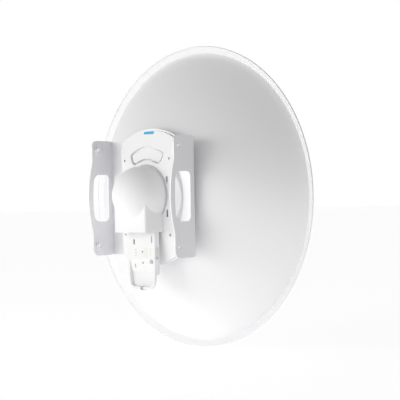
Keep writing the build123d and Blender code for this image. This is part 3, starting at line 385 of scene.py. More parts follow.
@dataclass(frozen=True)
class MouldedPlastic(Finish):
    """Moulded UV-stable plastic: spark-eroded grain, faint flow bands and a soft sheen."""

    grain: float = 1600.0
    flow: Point = (1.0, 1.0, 0.25)
    depth: float = 0.00006

    def paint(self, bench: Bench) -> dict[str, Any]:
        """Grain, flow bands and a little uneven gloss."""
        grain = bench.cells(self.grain)
        fine = bench.noise(self.grain * 2.2, 2.0)
        flow = bench.noise(14.0, 2.0, bench.place(scale=self.flow))
        gloss = bench.noise(45.0, 3.0)
        tone = bench.blend(flow.ramp(0.35, 0.65), shade(self.colour, 0.975), shade(self.colour, 1.01))
        under = bench.bump(grain, 0.30, self.depth)
        return {
            "Base Color": tone,
            "Roughness": self.roughness - 0.06 + 0.14 * gloss,
            "Normal": bench.bump(fine, 0.20, self.depth * 0.5, under),
            "Specular IOR Level": 0.5,
        }


@dataclass(frozen=True)
class ZincPlate(Finish):
    """Bright zinc on steel fasteners: small spangle, with faint blue and straw tints."""

    def paint(self, bench: Bench) -> dict[str, Any]:
        """Spangle, tints and fine turning marks."""
        grain = bench.cells(900.0, output="Color")
        tint = bench.noise(220.0, 2.0)
        shine = self.node_value(bench, grain)
        cool = shade(self.colour, 1.0)
        warm = (self.colour[0] * 1.04, self.colour[1] * 0.99, self.colour[2] * 0.86)
        return {
            "Base Color": bench.blend(tint.ramp(0.4, 0.62), cool, warm),
            "Roughness": self.roughness + 0.16 * shine,
            "Normal": bench.bump(bench.noise(5200.0, 1.0, bench.place(scale=(1, 0.15, 1))), 0.25, 0.00003),
        }

    def node_value(self, bench: Bench, colour: Wire) -> Wire:
        """One channel of a colour as a number."""
        return Wire(bench.tree, bench.node("SeparateColor", Color=colour).socket)


@dataclass(frozen=True)
class BrushedMetal(Finish):
    """Rolled or brushed sheet: long fine scratches along one direction."""

    along: Point = (0.02, 1.0, 1.0)

    def paint(self, bench: Bench) -> dict[str, Any]:
        """Scratches in tone, gloss and height."""
        scratch = bench.noise(2600.0, 2.0, bench.place(scale=self.along))
        patch = bench.noise(40.0, 2.0)
        return {
            "Base Color": bench.blend(scratch, shade(self.colour, 0.86), shade(self.colour, 1.06)),
            "Roughness": self.roughness + 0.12 * scratch + 0.08 * patch,
            "Normal": bench.bump(scratch, 0.3, 0.00003),
        }


@dataclass(frozen=True)
class Laminate(Finish):
    """A circuit board: solder mask over tracks, with tinned pads and holes."""

    pitch: float = 330.0

    def paint(self, bench: Bench) -> dict[str, Any]:
        """Tracks in steps of the pitch, and rows of pads."""
        coords = bench.place(scale=(self.pitch, self.pitch, self.pitch))
        x, y, z = bench.split(coords)
        run = bench.noise(0.35, 0.0, coords)
        lane = ((x + run.ramp(0.45, 0.55) * 3.0) * 1.7).fraction()
        track = (lane - 0.5).absolute() < 0.22
        cross = (((y + z) * 0.9).fraction() - 0.5).absolute() < 0.05
        pad = bench.cells(0.45, coords) < 0.12
        mask = bench.blend(track * 0.7, self.colour, shade(self.colour, 1.9))
        mask = bench.blend(cross * 0.5, mask, shade(self.colour, 1.5))
        return {
            "Base Color": bench.blend(pad, mask, (0.72, 0.70, 0.62)),
            "Metallic": pad * 0.9,
            "Roughness": self.roughness - 0.1 * pad,
            "Normal": bench.bump(track + pad, 0.4, 0.00004),
        }


@dataclass(frozen=True)
class SealRubber(Finish):
    """Soft black seal: matt, with a bloom of dust."""

    def paint(self, bench: Bench) -> dict[str, Any]:
        """Dust in patches over a fine matt surface."""
        dust = bench.noise(160.0, 4.0).ramp(0.45, 0.7)
        return {
            "Base Color": bench.blend(dust * 0.35, self.colour, shade(self.colour, 3.2)),
            "Roughness": self.roughness + 0.12 * dust,
            "Normal": bench.bump(bench.noise(1800.0, 2.0), 0.3, 0.00005),
        }


@dataclass(frozen=True)
class PrintedInk(Finish):
    """Pad-printed ink: dense in the middle, thin in small specks."""

    def paint(self, bench: Bench) -> dict[str, Any]:
        """Specks where the ink is thin."""
        thin = bench.noise(1400.0, 2.0).ramp(0.62, 0.78)
        wash = bench.noise(90.0, 2.0)
        tone = bench.blend(wash.ramp(0.3, 0.7), shade(self.colour, 0.9), shade(self.colour, 1.12))
        return {
            "Base Color": bench.blend(thin * 0.5, tone, (0.72, 0.80, 0.84)),
            "Roughness": self.roughness + 0.1 * wash,
            "Normal": bench.bump(thin, 0.2, 0.00002),
        }


@dataclass(frozen=True)
class MilkyLens(Finish):
    """Milky light guides: pale, slightly clear, smooth."""

    def paint(self, bench: Bench) -> dict[str, Any]:
        """A cloudy core that shows through."""
        haze = bench.noise(700.0, 2.0)
        return {
            "Base Color": bench.blend(haze, shade(self.colour, 0.88), shade(self.colour, 1.05)),
            "Roughness": self.roughness + 0.08 * haze,
            "Normal": bench.bump(haze, 0.15, 0.00003),
            "Transmission Weight": 0.25,
        }


@dataclass(frozen=True)
class PrintedLabel(Finish):
    """White film with a square code block and rows of short bars that spell nothing."""

    centre: Point = (0.0, 0.0, 0.0)
    half: tuple[float, float] = (0.007, 0.009)

    def paint(self, bench: Bench) -> dict[str, Any]:
        """Code block above, bars below."""
        x, _, z = bench.split(bench.place(centre=self.centre))
        cell = 1 / 0.00045
        grid = bench.node("CombineXYZ", X=(x * cell).floor(), Y=(z * cell).floor(), Z=0.0)
        dots = bench.node("TexWhiteNoise", {"noise_dimensions": "3D"}, "Value", Vector=grid) > 0.52
        side = 0.0036
        block = ((x + 0.0022).absolute() < side) * ((z - 0.0040).absolute() < side)
        row = z * (1 / 0.0013)
        dash = bench.node(
            "TexWhiteNoise", {"noise_dimensions": "2D"}, "Value",
            Vector=bench.node("CombineXYZ", X=(x * (1 / 0.0005)).floor(), Y=row.floor(), Z=0.0),
        ) > 0.35
        rows = (row.fraction() < 0.45) * (z < -0.0012) * (x.absolute() < self.half[0] - 0.0012)
        rows = rows * (z > -self.half[1] + 0.001)
        ink = block * dots + rows * dash
        return {
            "Base Color": bench.blend(ink, self.colour, (0.42, 0.42, 0.43)),
            "Roughness": self.roughness + 0.15 * ink,
            "Normal": bench.bump(bench.noise(500.0, 2.0), 0.1, 0.00004),
            "Specular IOR Level": 0.5,
        }


@dataclass(frozen=True)
class FloorPaint(Finish):
    """A seamless pale studio floor."""

    glow: float = 0.3

    def paint(self, bench: Bench) -> dict[str, Any]:
        """A trace of unevenness, and a lift that keeps the floor pale."""
        cloud = bench.noise(1.5, 3.0)
        return {
            "Base Color": bench.blend(cloud, shade(self.colour, 0.995), self.colour),
            "Roughness": self.roughness,
            "Emission Color": (1.0, 1.0, 1.0, 1.0),
            "Emission Strength": self.glow,
            "Specular IOR Level": 0.2,
        }


class Coat(Enum):
    """The finishes of the CAD nodes and of the pieces, by the record's material slots."""

    dish_paint = PowderCoat("dish_paint", (0.69, 0.685, 0.69), 0.48)
    bracket_paint = BracketPaint("bracket_paint", (0.665, 0.655, 0.68), 0.48, peel=900.0)
    zinc_steel = ZincPlate("zinc_steel", (0.66, 0.67, 0.69), 0.28, metallic=1.0)
    dark_steel = ZincPlate("dark_steel", (0.10, 0.10, 0.11), 0.38, metallic=1.0)
    hub_plastic = MouldedPlastic("hub_plastic", (0.78, 0.78, 0.78), 0.45)
    seal_rubber = SealRubber("seal_rubber", (0.02, 0.02, 0.021), 0.75)
    grommet_rubber = MouldedPlastic("grommet_rubber", (0.50, 0.50, 0.505), 0.6)
    feed_plastic = MouldedPlastic("feed_plastic", (0.82, 0.82, 0.82), 0.38, flow=(1.0, 0.2, 1.0))
    board_laminate = Laminate("board_laminate", (0.012, 0.09, 0.045), 0.38)
    bare_aluminium = BrushedMetal("bare_aluminium", (0.78, 0.78, 0.79), 0.28, metallic=1.0)
    tin_plate = BrushedMetal("tin_plate", (0.62, 0.61, 0.58), 0.30, metallic=1.0, along=(1.0, 1.0, 0.03))
    housing_plastic = MouldedPlastic("housing_plastic", (0.935, 0.935, 0.94), 0.40)
    hood_plastic = MouldedPlastic("hood_plastic", (0.91, 0.91, 0.905), 0.36, grain=2200.0, depth=0.00004)
    tail_plastic = MouldedPlastic("tail_plastic", (0.92, 0.92, 0.92), 0.42)
    cover_plastic = MouldedPlastic("cover_plastic", (0.92, 0.92, 0.92), 0.42)
    blue_print = PrintedInk("blue_print", (0.06, 0.31, 0.44), 0.45)
    jack_shell = BrushedMetal("jack_shell", (0.60, 0.60, 0.60), 0.25, metallic=1.0, along=(1.0, 1.0, 0.04))
    button_plastic = MouldedPlastic("button_plastic", (0.05, 0.05, 0.055), 0.45, grain=3000.0)
    lamp_lens = MilkyLens("lamp_lens", (0.62, 0.68, 0.66), 0.25)
    label_film = PrintedLabel("label_film", (0.84, 0.84, 0.83), 0.35, centre=(-0.01375, 0.0, -0.1135),
                              half=(0.00575, 0.0095))


# ---- dressing the CAD nodes -----------------------------------------------------------------
def coat_of(node: str) -> Coat:
    """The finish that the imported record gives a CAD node.

    Args:
        node: The node's name.

    Returns:
        Its finish.
    """
    for part in frame["record"]["subparts"]:
        if part["node"] == node:
            return Coat[part["material_slot"]]
    raise KeyError(node)


def dress_nodes() -> None:
    """Give every CAD node its detailed finish."""
    for name, body in frame["nodes"].items():
        coat = coat_of(name)
        body.data.materials.clear()
        body.data.materials.append(coat.value.make())
        log.info("dressed %s in %s", name, coat.name)


# ---- modelling ------------------------------------------------------------------------------
def aft(depth: float) -> float:
    """Y in metres of the plane this many millimetres behind the bracket's web."""
    return WEB_BACK + depth * MM


class Modeller:
    """Modelling by operator, one piece at a time."""

    @staticmethod
    def pick(piece: bpy.types.Object, mode: str, test: Callable[[Vector, Vector], bool]) -> None:
        """Enter edit mode with the faces or edges chosen by their place and direction.

        Args:
            piece: The piece to edit.
            mode: "FACE" or "EDGE".
            test: Takes the middle and the normal, or the edge's own direction.
        """
        bpy.ops.object.mode_set(mode="OBJECT")
        bpy.context.tool_settings.mesh_select_mode = (False, mode == "EDGE", mode == "FACE")
        mesh = piece.data
        for item in (*mesh.vertices, *mesh.edges, *mesh.polygons):
            item.select = False
        if mode == "FACE":
            for face in mesh.polygons:
                face.select = test(face.center, face.normal)
        else:
            for edge in mesh.edges:
                start, end = (mesh.vertices[k].co for k in edge.vertices)
                edge.select = test((start + end) / 2, (end - start).normalized())
        bpy.ops.object.mode_set(mode="EDIT")

    @staticmethod
    def settle(piece: bpy.types.Object, smooth: float = 0.6) -> bpy.types.Object:
        """Leave edit mode with clean outward faces, and smooth all but the sharp edges.

        Args:
            piece: The piece.
            smooth: The angle above which an edge stays sharp, in radians.

        Returns:
            The piece.
        """
        bpy.ops.object.mode_set(mode="EDIT")
        bpy.ops.mesh.select_all(action="SELECT")
        bpy.ops.mesh.remove_doubles(threshold=2e-6)
        bpy.ops.mesh.normals_make_consistent(inside=False)
        bpy.ops.object.mode_set(mode="OBJECT")
        bpy.ops.object.transform_apply(location=True, rotation=True, scale=True)
        bpy.ops.object.shade_smooth_by_angle(angle=smooth)
        return piece

    @staticmethod
    def block(name: str, low: Point, high: Point, bevel: float = 0.0, segments: int = 2) -> bpy.types.Object:
        """A box between two corners with rounded edges.

        Args:
            name: The piece's name.
            low: Its lowest corner.
            high: Its highest corner.
            bevel: Width of the rounding.
            segments: Steps in the rounding.

        Returns:
            The piece, in object mode and selected.
        """
        bpy.ops.object.select_all(action="DESELECT")
        centre = [(a + b) / 2 for a, b in zip(low, high)]
        size = [b - a for a, b in zip(low, high)]
        bpy.ops.mesh.primitive_cube_add(size=1.0, location=centre, scale=size)
        piece = bpy.context.active_object
        piece.name = name
        bpy.ops.object.transform_apply(location=True, rotation=True, scale=True)
        if bevel > 0:
            Modeller.pick(piece, "EDGE", lambda middle, way: True)
            bpy.ops.mesh.bevel(offset=bevel, segments=segments, affect="EDGES")
        return Modeller.settle(piece)

    @staticmethod
    def turned(name: str, centre: Point, axis: Point, outline: list[tuple[float, float]],
               steps: int = 64) -> bpy.types.Object:
        """A turned piece: an outline drawn by extruding a point, spun once round its axis.

        Args:
            name: The piece's name.
            centre: A point on its axis, where the outline's second number is 0.
            axis: The axis's direction.
            outline: Radius and distance along the axis of each corner, in metres.
            steps: Facets round the axis.

        Returns:
            The piece, in object mode and selected.
        """
        along = Vector(axis).normalized()
        across = Vector((1, 0, 0)) if abs(along.x) < 0.5 else Vector((0, 0, 1))
        points = [Vector(centre) + across * r + along * t for r, t in outline]
        bpy.ops.object.select_all(action="DESELECT")
        bpy.ops.mesh.primitive_plane_add(size=MM, location=points[0])
        piece = bpy.context.active_object
        piece.name = name
        bpy.ops.object.transform_apply(location=True, rotation=True, scale=True)
        bpy.ops.object.mode_set(mode="EDIT")
        bpy.context.tool_settings.mesh_select_mode = (True, False, False)
        bpy.ops.mesh.select_all(action="SELECT")
        bpy.ops.mesh.merge(type="CENTER")
        for start, end in zip(points, points[1:]):
            bpy.ops.mesh.extrude_region_move(TRANSFORM_OT_translate={"value": tuple(end - start)})
        bpy.ops.mesh.select_all(action="SELECT")
        bpy.ops.mesh.spin(steps=steps, angle=2 * math.pi, center=centre, axis=tuple(along))
        return Modeller.settle(piece)

    @staticmethod
    def copies(piece: bpy.types.Object, places: list[Point]) -> list[bpy.types.Object]:
        """The piece and copies of it, each with a mesh of its own.

        Args:
            piece: The first one, at the first place.
            places: Where the reference point of each lies.

        Returns:
            All of them.
        """
        made = [piece]
        for number, place in enumerate(places[1:], start=2):
            bpy.ops.object.select_all(action="DESELECT")
            piece.select_set(True)
            bpy.context.view_layer.objects.active = piece
            bpy.ops.object.duplicate(linked=False)
            twin = bpy.context.active_object
            twin.name = f"{piece.name}_{number}"
            bpy.ops.transform.translate(value=tuple(Vector(place) - Vector(places[0])))
            bpy.ops.object.transform_apply(location=True, rotation=True, scale=True)
            made.append(twin)
        piece.name = f"{piece.name}_1"
        return made

    @staticmethod
    def carve(piece: bpy.types.Object, tool: bpy.types.Object, operation: str = "DIFFERENCE") -> None:
        """Cut one piece with another, or join them, and remove the tool.

        Args:
            piece: The piece that stays.
            tool: The piece that is used up.
            operation: "DIFFERENCE" or "UNION".
        """
        change = piece.modifiers.new("carve", "BOOLEAN")
        change.operation = operation
        change.solver = "EXACT"
        change.object = tool
        bpy.ops.object.select_all(action="DESELECT")
        piece.select_set(True)
        bpy.context.view_layer.objects.active = piece
        bpy.ops.object.modifier_apply(modifier=change.name)
        bpy.data.objects.remove(tool, do_unlink=True)


def thread(radius: float, depth: float, pitch: float, start: float, end: float) -> list[tuple[float, float]]:
    """The side of a screw thread in section, as ridges.

    Args:
        radius: The ridges' radius.
        depth: How deep the grooves are; negative for a thread inside a hole.
        pitch: From ridge to ridge.
        start: Where the thread starts along the axis.
        end: Where it ends.

    Returns:
        Radius and place of each corner.
    """
    count = max(int(abs(end - start) / pitch), 1)
    step = (end - start) / count
    corners = []
    for k in range(count):
        corners += [(radius - depth, start + k * step), (radius, start + (k + 0.5) * step)]
    return corners + [(radius - depth, end)]


def dress(pieces: list[bpy.types.Object], coat: "Coat", body: str = ANTENNA, stands_for: Optional[str] = None,
          finish: Optional["Finish"] = None) -> None:
    """Finish pieces: material, body, slot, and the CAD node that they stand for.

    Args:
        pieces: The pieces.
        coat: Their finish.
        body: The body that they ride on.
        stands_for: The CAD node that they replace, if any.
        finish: A finish of their own within that slot.
    """
    for piece in pieces:
        piece.data.materials.clear()
        piece.data.materials.append((finish or coat.value).make())
        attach(piece, body)
        if stands_for:
            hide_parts(stands_for)
        log.info("built %s in %s on %s", piece.name, coat.name, body)


# ---- sub-assemblies -------------------------------------------------------------------------
@dataclass
class HoodSeal:
    """The soft bead in the collar's groove, all round the dome's foot."""

    radius: float = 62.4 * MM
    stem: float = 0.5 * MM
    head: float = 1.35 * MM
    foot: float = 13.95
    rest: float = 15.03
    crown: float = 1.5 * MM
    centre_up: float = 4.3 * MM
    neck_gap: float = 1.1 * MM
    neck_room: tuple[float, float, float, float] = (0.0, 30.0, -0.1, -0.02)
    pieces: list[bpy.types.Object] = field(default_factory=list)

    def build(self) -> "HoodSeal":
        """A mushroom section turned round the dome's axis, open where the neck leaves."""
        base = (self.rest - self.foot) * MM
        cap = [(self.radius + self.head * math.cos(a), base + self.crown * math.sin(a))
               for a in (k * math.pi / 8 for k in range(9))]
        outline = [(self.radius - self.stem, 0.0), (self.radius + self.stem, 0.0), (self.radius + self.stem, base),
                   *cap, (self.radius - self.stem, base), (self.radius - self.stem, 0.0)]
        seal = Modeller.turned("hood_seal", (0, aft(self.foot), self.centre_up), (0, 1, 0), outline, 128)
        side = NECK_HALF_WIDTH + self.neck_gap
        front, back, bottom, top = self.neck_room
        neck = Modeller.block("neck_room", (-side, aft(front), bottom), (side, aft(back), top))
        Modeller.carve(seal, neck)
        self.pieces = [seal]
        return self

    def dress(self) -> None:
        """Light silicone."""
        dress(self.pieces, Coat.grommet_rubber)


@dataclass
class CrossScrews:
    """Pan-head screws with a cross recess and a turned thread."""

    name: str
    node: str
    head_radius: float
    head: float
    shank_radius: float
    length: float
    pitch: float = 0.7 * MM
    pieces: list[bpy.types.Object] = field(default_factory=list)

    def places(self) -> list[Point]:
        """Where each screw's head is seated."""
        raise NotImplementedError

    def build(self) -> "CrossScrews":
        """Turn one, cut its recess, copy it to every place."""
        places = self.places()
        x, seat, z = places[0]
        r, h = self.head_radius, self.head
        dome = [(r * math.cos(a), h * (0.45 + 0.55 * math.sin(a))) for a in (k * math.pi / 12 for k in range(7))]
        shank = thread(self.shank_radius, self.shank_radius * 0.16, self.pitch, 0.0, -self.length)
        outline = [(0.0, h), *reversed(dome[:-1]), (r, 0.0), *shank, (0.0, -self.length)]
        screw = Modeller.turned(self.name, (x, seat, z), (0, 1, 0), outline, 40)
        for wide, high in ((r * 1.25, r * 0.3), (r * 0.3, r * 1.25)):
            low = (x - wide / 2, seat + h * 0.45, z - high / 2)
            slot = Modeller.block("slot", low, (x + wide / 2, seat + 2 * h, z + high / 2))
            Modeller.carve(screw, slot)
        self.pieces = Modeller.copies(screw, places) if len(places) > 1 else [screw]
        return self

    def dress(self) -> None:
        """Bright zinc."""
        dress(self.pieces, Coat.zinc_steel, stands_for=self.node)


@dataclass
class HousingScrews(CrossScrews):
    """Four screws that hold the rear housing to the web."""

    name: str = "housing_screw"
    node: str = "housing_screws"
    head_radius: float = 2.5 * MM
    head: float = 1.8 * MM
    shank_radius: float = 1.5 * MM
    length: float = 14.5 * MM
    seat_depth: float = 9.6
    x: float = 67.5
    z: float = 78

    def places(self) -> list[Point]:
        """The four corners of the housing."""
        seat = aft(self.seat_depth)
        return [(x * MM, seat, z * MM) for x in (self.x, -self.x) for z in (self.z, -self.z)]


@dataclass
class GroundScrew(CrossScrews):
    """The screw for a ground wire at the side of the tail."""

    name: str = "ground_screw_m4"
    node: str = "ground_screw"
    head_radius: float = 3.6 * MM
    head: float = 2.4 * MM
    shank_radius: float = 1.95 * MM
    length: float = 8.4 * MM

    def places(self) -> list[Point]:
        """On the axis of the CAD screw, under its head."""
        low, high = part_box(self.node)
        return [((low[0] + high[0]) / 2, high[1] - self.head, (low[2] + high[2]) / 2)]


@dataclass
class HubFastener:
    """What the hub's bolts and nuts share: a hexagon, four times round the feed."""

    flats: float = 10.0 * MM

    def corner(self, node: str) -> tuple[float, float, float, float]:
        """Where the fastener at the node's highest corner stands.

        Args:
            node: The CAD node of four fasteners.

        Returns:
            Its axis's X and Z, the lowest Y, and its length along Y.
        """
        low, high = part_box(node)
        return high[0] - self.flats / math.sqrt(3), high[2] - self.flats / 2, low[1], high[1] - low[1]

    def hexagon(self, x: float, front: float, z: float, depth: float) -> bpy.types.Object:
        """A hexagonal prism along Y, with a corner towards +X.

        Args:
            x: Its axis's X.
            front: The Y of its front face.
            z: Its axis's Z.
            depth: Its length.

        Returns:
            The piece, in object mode and selected.
        """
        bpy.ops.object.select_all(action="DESELECT")
        middle, turn = (x, front + depth / 2, z), (math.pi / 2, math.pi / 6, 0)
        bpy.ops.mesh.primitive_cylinder_add(vertices=6, radius=self.flats / math.sqrt(3), depth=depth,
                                            location=middle, rotation=turn)
        bpy.ops.object.transform_apply(location=True, rotation=True, scale=True)
        return bpy.context.active_object

    @staticmethod
    def four(piece: bpy.types.Object, x: float, front: float, z: float) -> list[bpy.types.Object]:
        """The piece and its copies at the hub's four places."""
        return Modeller.copies(piece, [(sx * x, front, sz * z) for sx in (1, -1) for sz in (1, -1)])


@dataclass
class HubBolts(HubFastener):
    """Hexagon bolts through the clamp ring, the dish and the web."""

    head: float = 4.0 * MM
    radius: float = 3.0 * MM
    pitch: float = 1.0 * MM
    groove: float = 0.35 * MM
    overlap: float = 0.2 * MM
    crown: tuple[tuple[float, float], ...] = ((0.7 * MM, 0.35 * MM), (1.2 * MM, 0.0), (0.2 * MM, -0.25 * MM))
    pieces: list[bpy.types.Object] = field(default_factory=list)

    def build(self) -> "HubBolts":
        """A chamfered head on a threaded shank, copied to the four places."""
        x, z, front, whole = self.corner("hub_bolts")
        length = whole - self.head
        sunk = self.head - self.overlap
        shank = thread(self.radius, self.groove, self.pitch, self.head, self.head + length)
        outline = [(0.0, sunk), (self.radius, sunk), *shank, (0.0, self.head + length)]
        bolt = Modeller.turned("hub_bolt", (x, front, z), (0, 1, 0), outline, 40)
        top = self.hexagon(x, front, z, self.head)
        Modeller.pick(top, "FACE", lambda middle, way: way.y < -0.9)
        for thickness, depth in self.crown:
            bpy.ops.mesh.inset(thickness=thickness, depth=depth)
        Modeller.settle(top)
        Modeller.carve(bolt, top, "UNION")
        self.pieces = self.four(bolt, x, front, z)
        return self

    def dress(self) -> None:
        """Bright zinc."""
        dress(self.pieces, Coat.zinc_steel, stands_for="hub_bolts")


@dataclass
class HubNuts(HubFastener):
    """Chamfered hexagon nuts behind the web."""

    bore: float = 3.06 * MM
    chamfer: float = 0.5 * MM
    pieces: list[bpy.types.Object] = field(default_factory=list)

    def build(self) -> "HubNuts":
        """One nut, copied to the four places."""
        x, z, front, tall = self.corner("hub_nuts")
        nut = self.hexagon(x, front, z, tall)
        nut.name = "hub_nut"
        Modeller.pick(nut, "EDGE", lambda middle, way: abs(way.y) < 0.1)
        bpy.ops.mesh.bevel(offset=self.chamfer, segments=2, affect="EDGES")
        Modeller.settle(nut)
        past = tall + 2 * MM
        section = [(0.0, 0.0), (self.bore, 0.0), (self.bore, past), (0.0, past)]
        Modeller.carve(nut, Modeller.turned("hole", (x, front - MM, z), (0, 1, 0), section, 40))
        self.pieces = self.four(nut, x, front, z)
        return self

    def dress(self) -> None:
        """Bright zinc."""
        dress(self.pieces, Coat.zinc_steel, stands_for="hub_nuts")


@dataclass
class CapTrim:
    """The bead round the rear edge of the feed cap's sleeve."""

    bead: float = 0.9 * MM
    pieces: list[bpy.types.Object] = field(default_factory=list)

    def build(self) -> "CapTrim":
        """A half-round section turned about the feed's axis."""
        _, cap_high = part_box("feed_cap")
        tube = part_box("feed_tube")[1][0]
        sleeve = tube + 2.8 * MM
        rear = cap_high[1]
        arc = [(sleeve + self.bead * math.sin(a), -self.bead * math.cos(a))
               for a in (k * math.pi / 8 for k in range(9))]
        outline = [*arc, (sleeve - 0.02 * MM, self.bead), (sleeve - 0.02 * MM, -self.bead), arc[0]]
        centre = (0, rear - 1.6 * MM, 0)
        self.pieces.append(Modeller.turned("cap_bead", centre, (0, 1, 0), outline, 96))
        return self

    def dress(self) -> None:
        """The cap's own plastic."""
        dress(self.pieces, Coat.feed_plastic)


def lamp_row() -> tuple[float, float, float, float]:
    """The row of lamps on the tail's back face.

    Returns:
        Its X, the Y of the lamps' ends, the top lamp's Z, and the step down to the next.
    """
    low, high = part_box("light_pipes")
    wide = high[0] - low[0]
    return (low[0] + high[0]) / 2, high[1], high[2] - wide / 2, (high[2] - low[2] - wide) / (LAMP_COUNT - 1)


@dataclass
class LampDomes:
    """Clear domes over the ends of the light pipes."""

    radius: float = 0.88 * MM
    rise: float = 0.35 * MM
    pieces: list[bpy.types.Object] = field(default_factory=list)

    def build(self) -> "LampDomes":
        """One dome, copied down the row."""
        x, end, top, pitch = lamp_row()
        arc = [(self.radius * math.cos(a), self.rise * math.sin(a)) for a in (k * math.pi / 10 for k in range(6))]
        outline = [(0.0, 0.0), *arc[:-1], (0.0, self.rise)]
        dome = Modeller.turned("lamp_dome", (x, end, top), (0, 1, 0), outline, 24)
        self.pieces = Modeller.copies(dome, [(x, end, top - k * pitch) for k in range(LAMP_COUNT)])
        return self

    def dress(self) -> None:
        """Clear lens."""
        dress(self.pieces, Coat.lamp_lens)


@dataclass
class SocketContacts:
    """Eight sprung contacts in the Ethernet socket."""

    count: int = 8
    pitch: float = 1.02 * MM
    wide: float = 0.4 * MM
    inside: float = 2.45 * MM
    mouth: float = 2.5 * MM
    bends: tuple[tuple[float, float], ...] = ((1.1, 3.2), (1.5, 2.6), (-0.4, 1.2))
    pieces: list[bpy.types.Object] = field(default_factory=list)

    def build(self) -> "SocketContacts":
        """One contact: a strip along the socket's front wall, bent up towards the plug, copied across."""
        low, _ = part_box("ethernet_jack")
        wall = low[1] + self.inside
        mouth = low[2] + self.mouth
        x = -self.pitch * (self.count - 1) / 2
        strip = Modeller.block("jack_contact", (x - self.wide / 2, wall, mouth),
                               (x + self.wide / 2, wall + 0.35 * MM, mouth + 2.2 * MM))
        for rise, length in self.bends:
            Modeller.pick(strip, "FACE", lambda middle, way: way.z > 0.9 and middle.z > mouth + MM)
            bpy.ops.mesh.extrude_region_move(TRANSFORM_OT_translate={"value": (0, rise * MM, length * MM)})
        Modeller.settle(strip)
        self.pieces = Modeller.copies(strip, [(x + k * self.pitch, 0, 0) for k in range(self.count)])
        return self

    def dress(self) -> None:
        """Gold-plated."""
        dress(self.pieces, Coat.tin_plate,
              finish=BrushedMetal("contact_gold", (0.80, 0.60, 0.27), 0.24, metallic=1.0, along=(1.0, 1.0, 0.05)))


@dataclass
class CoverGrip:
    """Moulded finger ribs across the front of the port cover's tray."""

    count: int = 4
    pitch: float = 3.2 * MM
    half: float = 13.0 * MM
    tray_front: float = 22.0
    proud: float = 0.6 * MM
    pieces: list[bpy.types.Object] = field(default_factory=list)

    def build(self) -> "CoverGrip":
        """One rounded rib, copied up the tray's front."""
        face = aft(self.tray_front)
        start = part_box("port_cover")[0][2] + 12.0 * MM
        rib = Modeller.block("grip_rib", (-self.half, face - self.proud, start),
                             (self.half, face + 0.3 * MM, start + 1.3 * MM), bevel=0.4 * MM, segments=3)
        places = [(0, 0, start + k * self.pitch) for k in range(self.count)]
        self.pieces = Modeller.copies(rib, places)
        return self

    def dress(self) -> None:
        """The cover's own plastic."""
        dress(self.pieces, Coat.cover_plastic, body="port_cover")


@dataclass
class PanelTicks:
    """Short printed ticks beside the lamps, one each."""

    thick: float = 0.08 * MM
    sunk: float = 0.02 * MM
    wide: float = 1.6 * MM
    tall: float = 0.5 * MM
    x: float = 18.4 * MM
    pieces: list[bpy.types.Object] = field(default_factory=list)

    def build(self) -> "PanelTicks":
        """One tick level with the top lamp, copied down the row."""
        _, _, top, pitch = lamp_row()
        low = (self.x - self.wide / 2, aft(TAIL_BACK) - self.sunk, top - self.tall / 2)
        high = (self.x + self.wide / 2, aft(TAIL_BACK) + self.thick, top + self.tall / 2)
        tick = Modeller.block("lamp_tick", low, high, bevel=0.03 * MM, segments=1)
        self.pieces = Modeller.copies(tick, [(0, 0, -k * pitch) for k in range(LAMP_COUNT)])
        return self

    def dress(self) -> None:
        """Grey ink."""
        dress(self.pieces, Coat.label_film, finish=PrintedInk("grey_print", (0.30, 0.30, 0.32), 0.45))


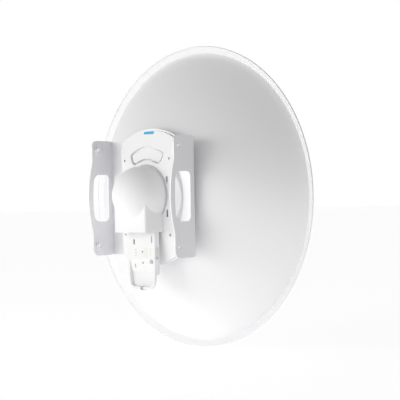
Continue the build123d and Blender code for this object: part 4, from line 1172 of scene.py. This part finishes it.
# ---- studio ---------------------------------------------------------------------------------
@dataclass
class Studio:
    """Floor, surroundings, lights and camera."""

    floor_z: float = -0.325
    floor_reach: float = 60.0
    lens: float = 98.98
    camera_at: Point = (-1.67375, 1.53006, -0.01530)
    camera_right: Point = (-0.71259, -0.70135, -0.01769)
    camera_up: Point = (-0.01711, -0.00784, 0.99982)
    shift: tuple[float, float] = (0.0128, -0.0084)

    def build(self) -> None:
        """Make it all."""
        bpy.context.scene.view_settings.view_transform = "Standard"
        self.floor()
        self.surroundings()
        self.lamp("key", at=(1.1, 2.6, 0.12), aim=(0.0, 0.0, -0.03), size=2.0, power=34.0)
        self.camera()

    def floor(self) -> None:
        """A wide flat pale floor under the rim."""
        bpy.ops.object.select_all(action="DESELECT")
        bpy.ops.mesh.primitive_circle_add(vertices=64, radius=self.floor_reach, fill_type="NGON",
                                          location=(0, 0, self.floor_z))
        floor = bpy.context.active_object
        floor.name = "studio_floor"
        floor.data.materials.append(FloorPaint("studio_floor", (0.6, 0.6, 0.6), 0.7, glow=0.68).make())

    def surroundings(self) -> None:
        """Soft light from all round: brightest at the horizon, weaker above and towards -X."""
        world = bpy.data.worlds.new("studio")
        bpy.context.scene.world = world
        world.use_nodes = True
        bench = Bench(world.node_tree)
        x, _, z = bench.split(bench.node("TexCoord", output="Generated"))
        side = x.ramp(-1.0, 0.7)
        high = z.ramp(0.05, 0.9)
        light = (0.31 + 0.55 * side) * (1.0 - 0.45 * high)
        seen = bench.node("LightPath", output="Is Camera Ray")
        strength = seen + (1.0 - seen) * light
        glow = bench.node("Background", Color=(1.0, 1.0, 1.0, 1.0), Strength=strength)
        out = bench.tree.nodes.new("ShaderNodeOutputWorld")
        bench.tree.links.new(glow.socket, out.inputs["Surface"])

    def lamp(self, name: str, at: Point, aim: Point, size: float, power: float) -> None:
        """One soft square light.

        Args:
            name: Its name.
            at: Where it hangs.
            aim: The point it faces.
            size: Its side.
            power: Its power in watts.
        """
        light = bpy.data.lights.new(name, "AREA")
        light.shape = "SQUARE"
        light.size = size
        light.energy = power
        lamp = bpy.data.objects.new(name, light)
        bpy.context.scene.collection.objects.link(lamp)
        lamp.location = at
        lamp.rotation_euler = (Vector(aim) - Vector(at)).to_track_quat("-Z", "Y").to_euler()

    def camera(self) -> None:
        """The camera behind the dish, level, with its small shift."""
        right, up = Vector(self.camera_right), Vector(self.camera_up)
        back = right.cross(up)
        lens = bpy.data.cameras.new("studio_camera")
        lens.lens = self.lens
        lens.sensor_width = 36.0
        lens.shift_x, lens.shift_y = self.shift
        lens.clip_start, lens.clip_end = 0.05, 200.0
        camera = bpy.data.objects.new("studio_camera", lens)
        bpy.context.scene.collection.objects.link(camera)
        turn = Matrix((right, up, back)).transposed().to_4x4()
        camera.matrix_world = Matrix.Translation(self.camera_at) @ turn
        bpy.context.scene.camera = camera


def main() -> None:
    """Dress the CAD nodes, build the pieces and set the studio."""
    logging.basicConfig(level=logging.INFO, format="%(name)s: %(message)s")
    dress_nodes()
    parts = [HoodSeal(), HousingScrews(), GroundScrew(), HubBolts(), HubNuts(), CapTrim(), LampDomes(),
             SocketContacts(), CoverGrip(), PanelTicks()]
    for part in parts:
        part.build().dress()
    Studio().build()


if __name__ == "__main__":
    main()
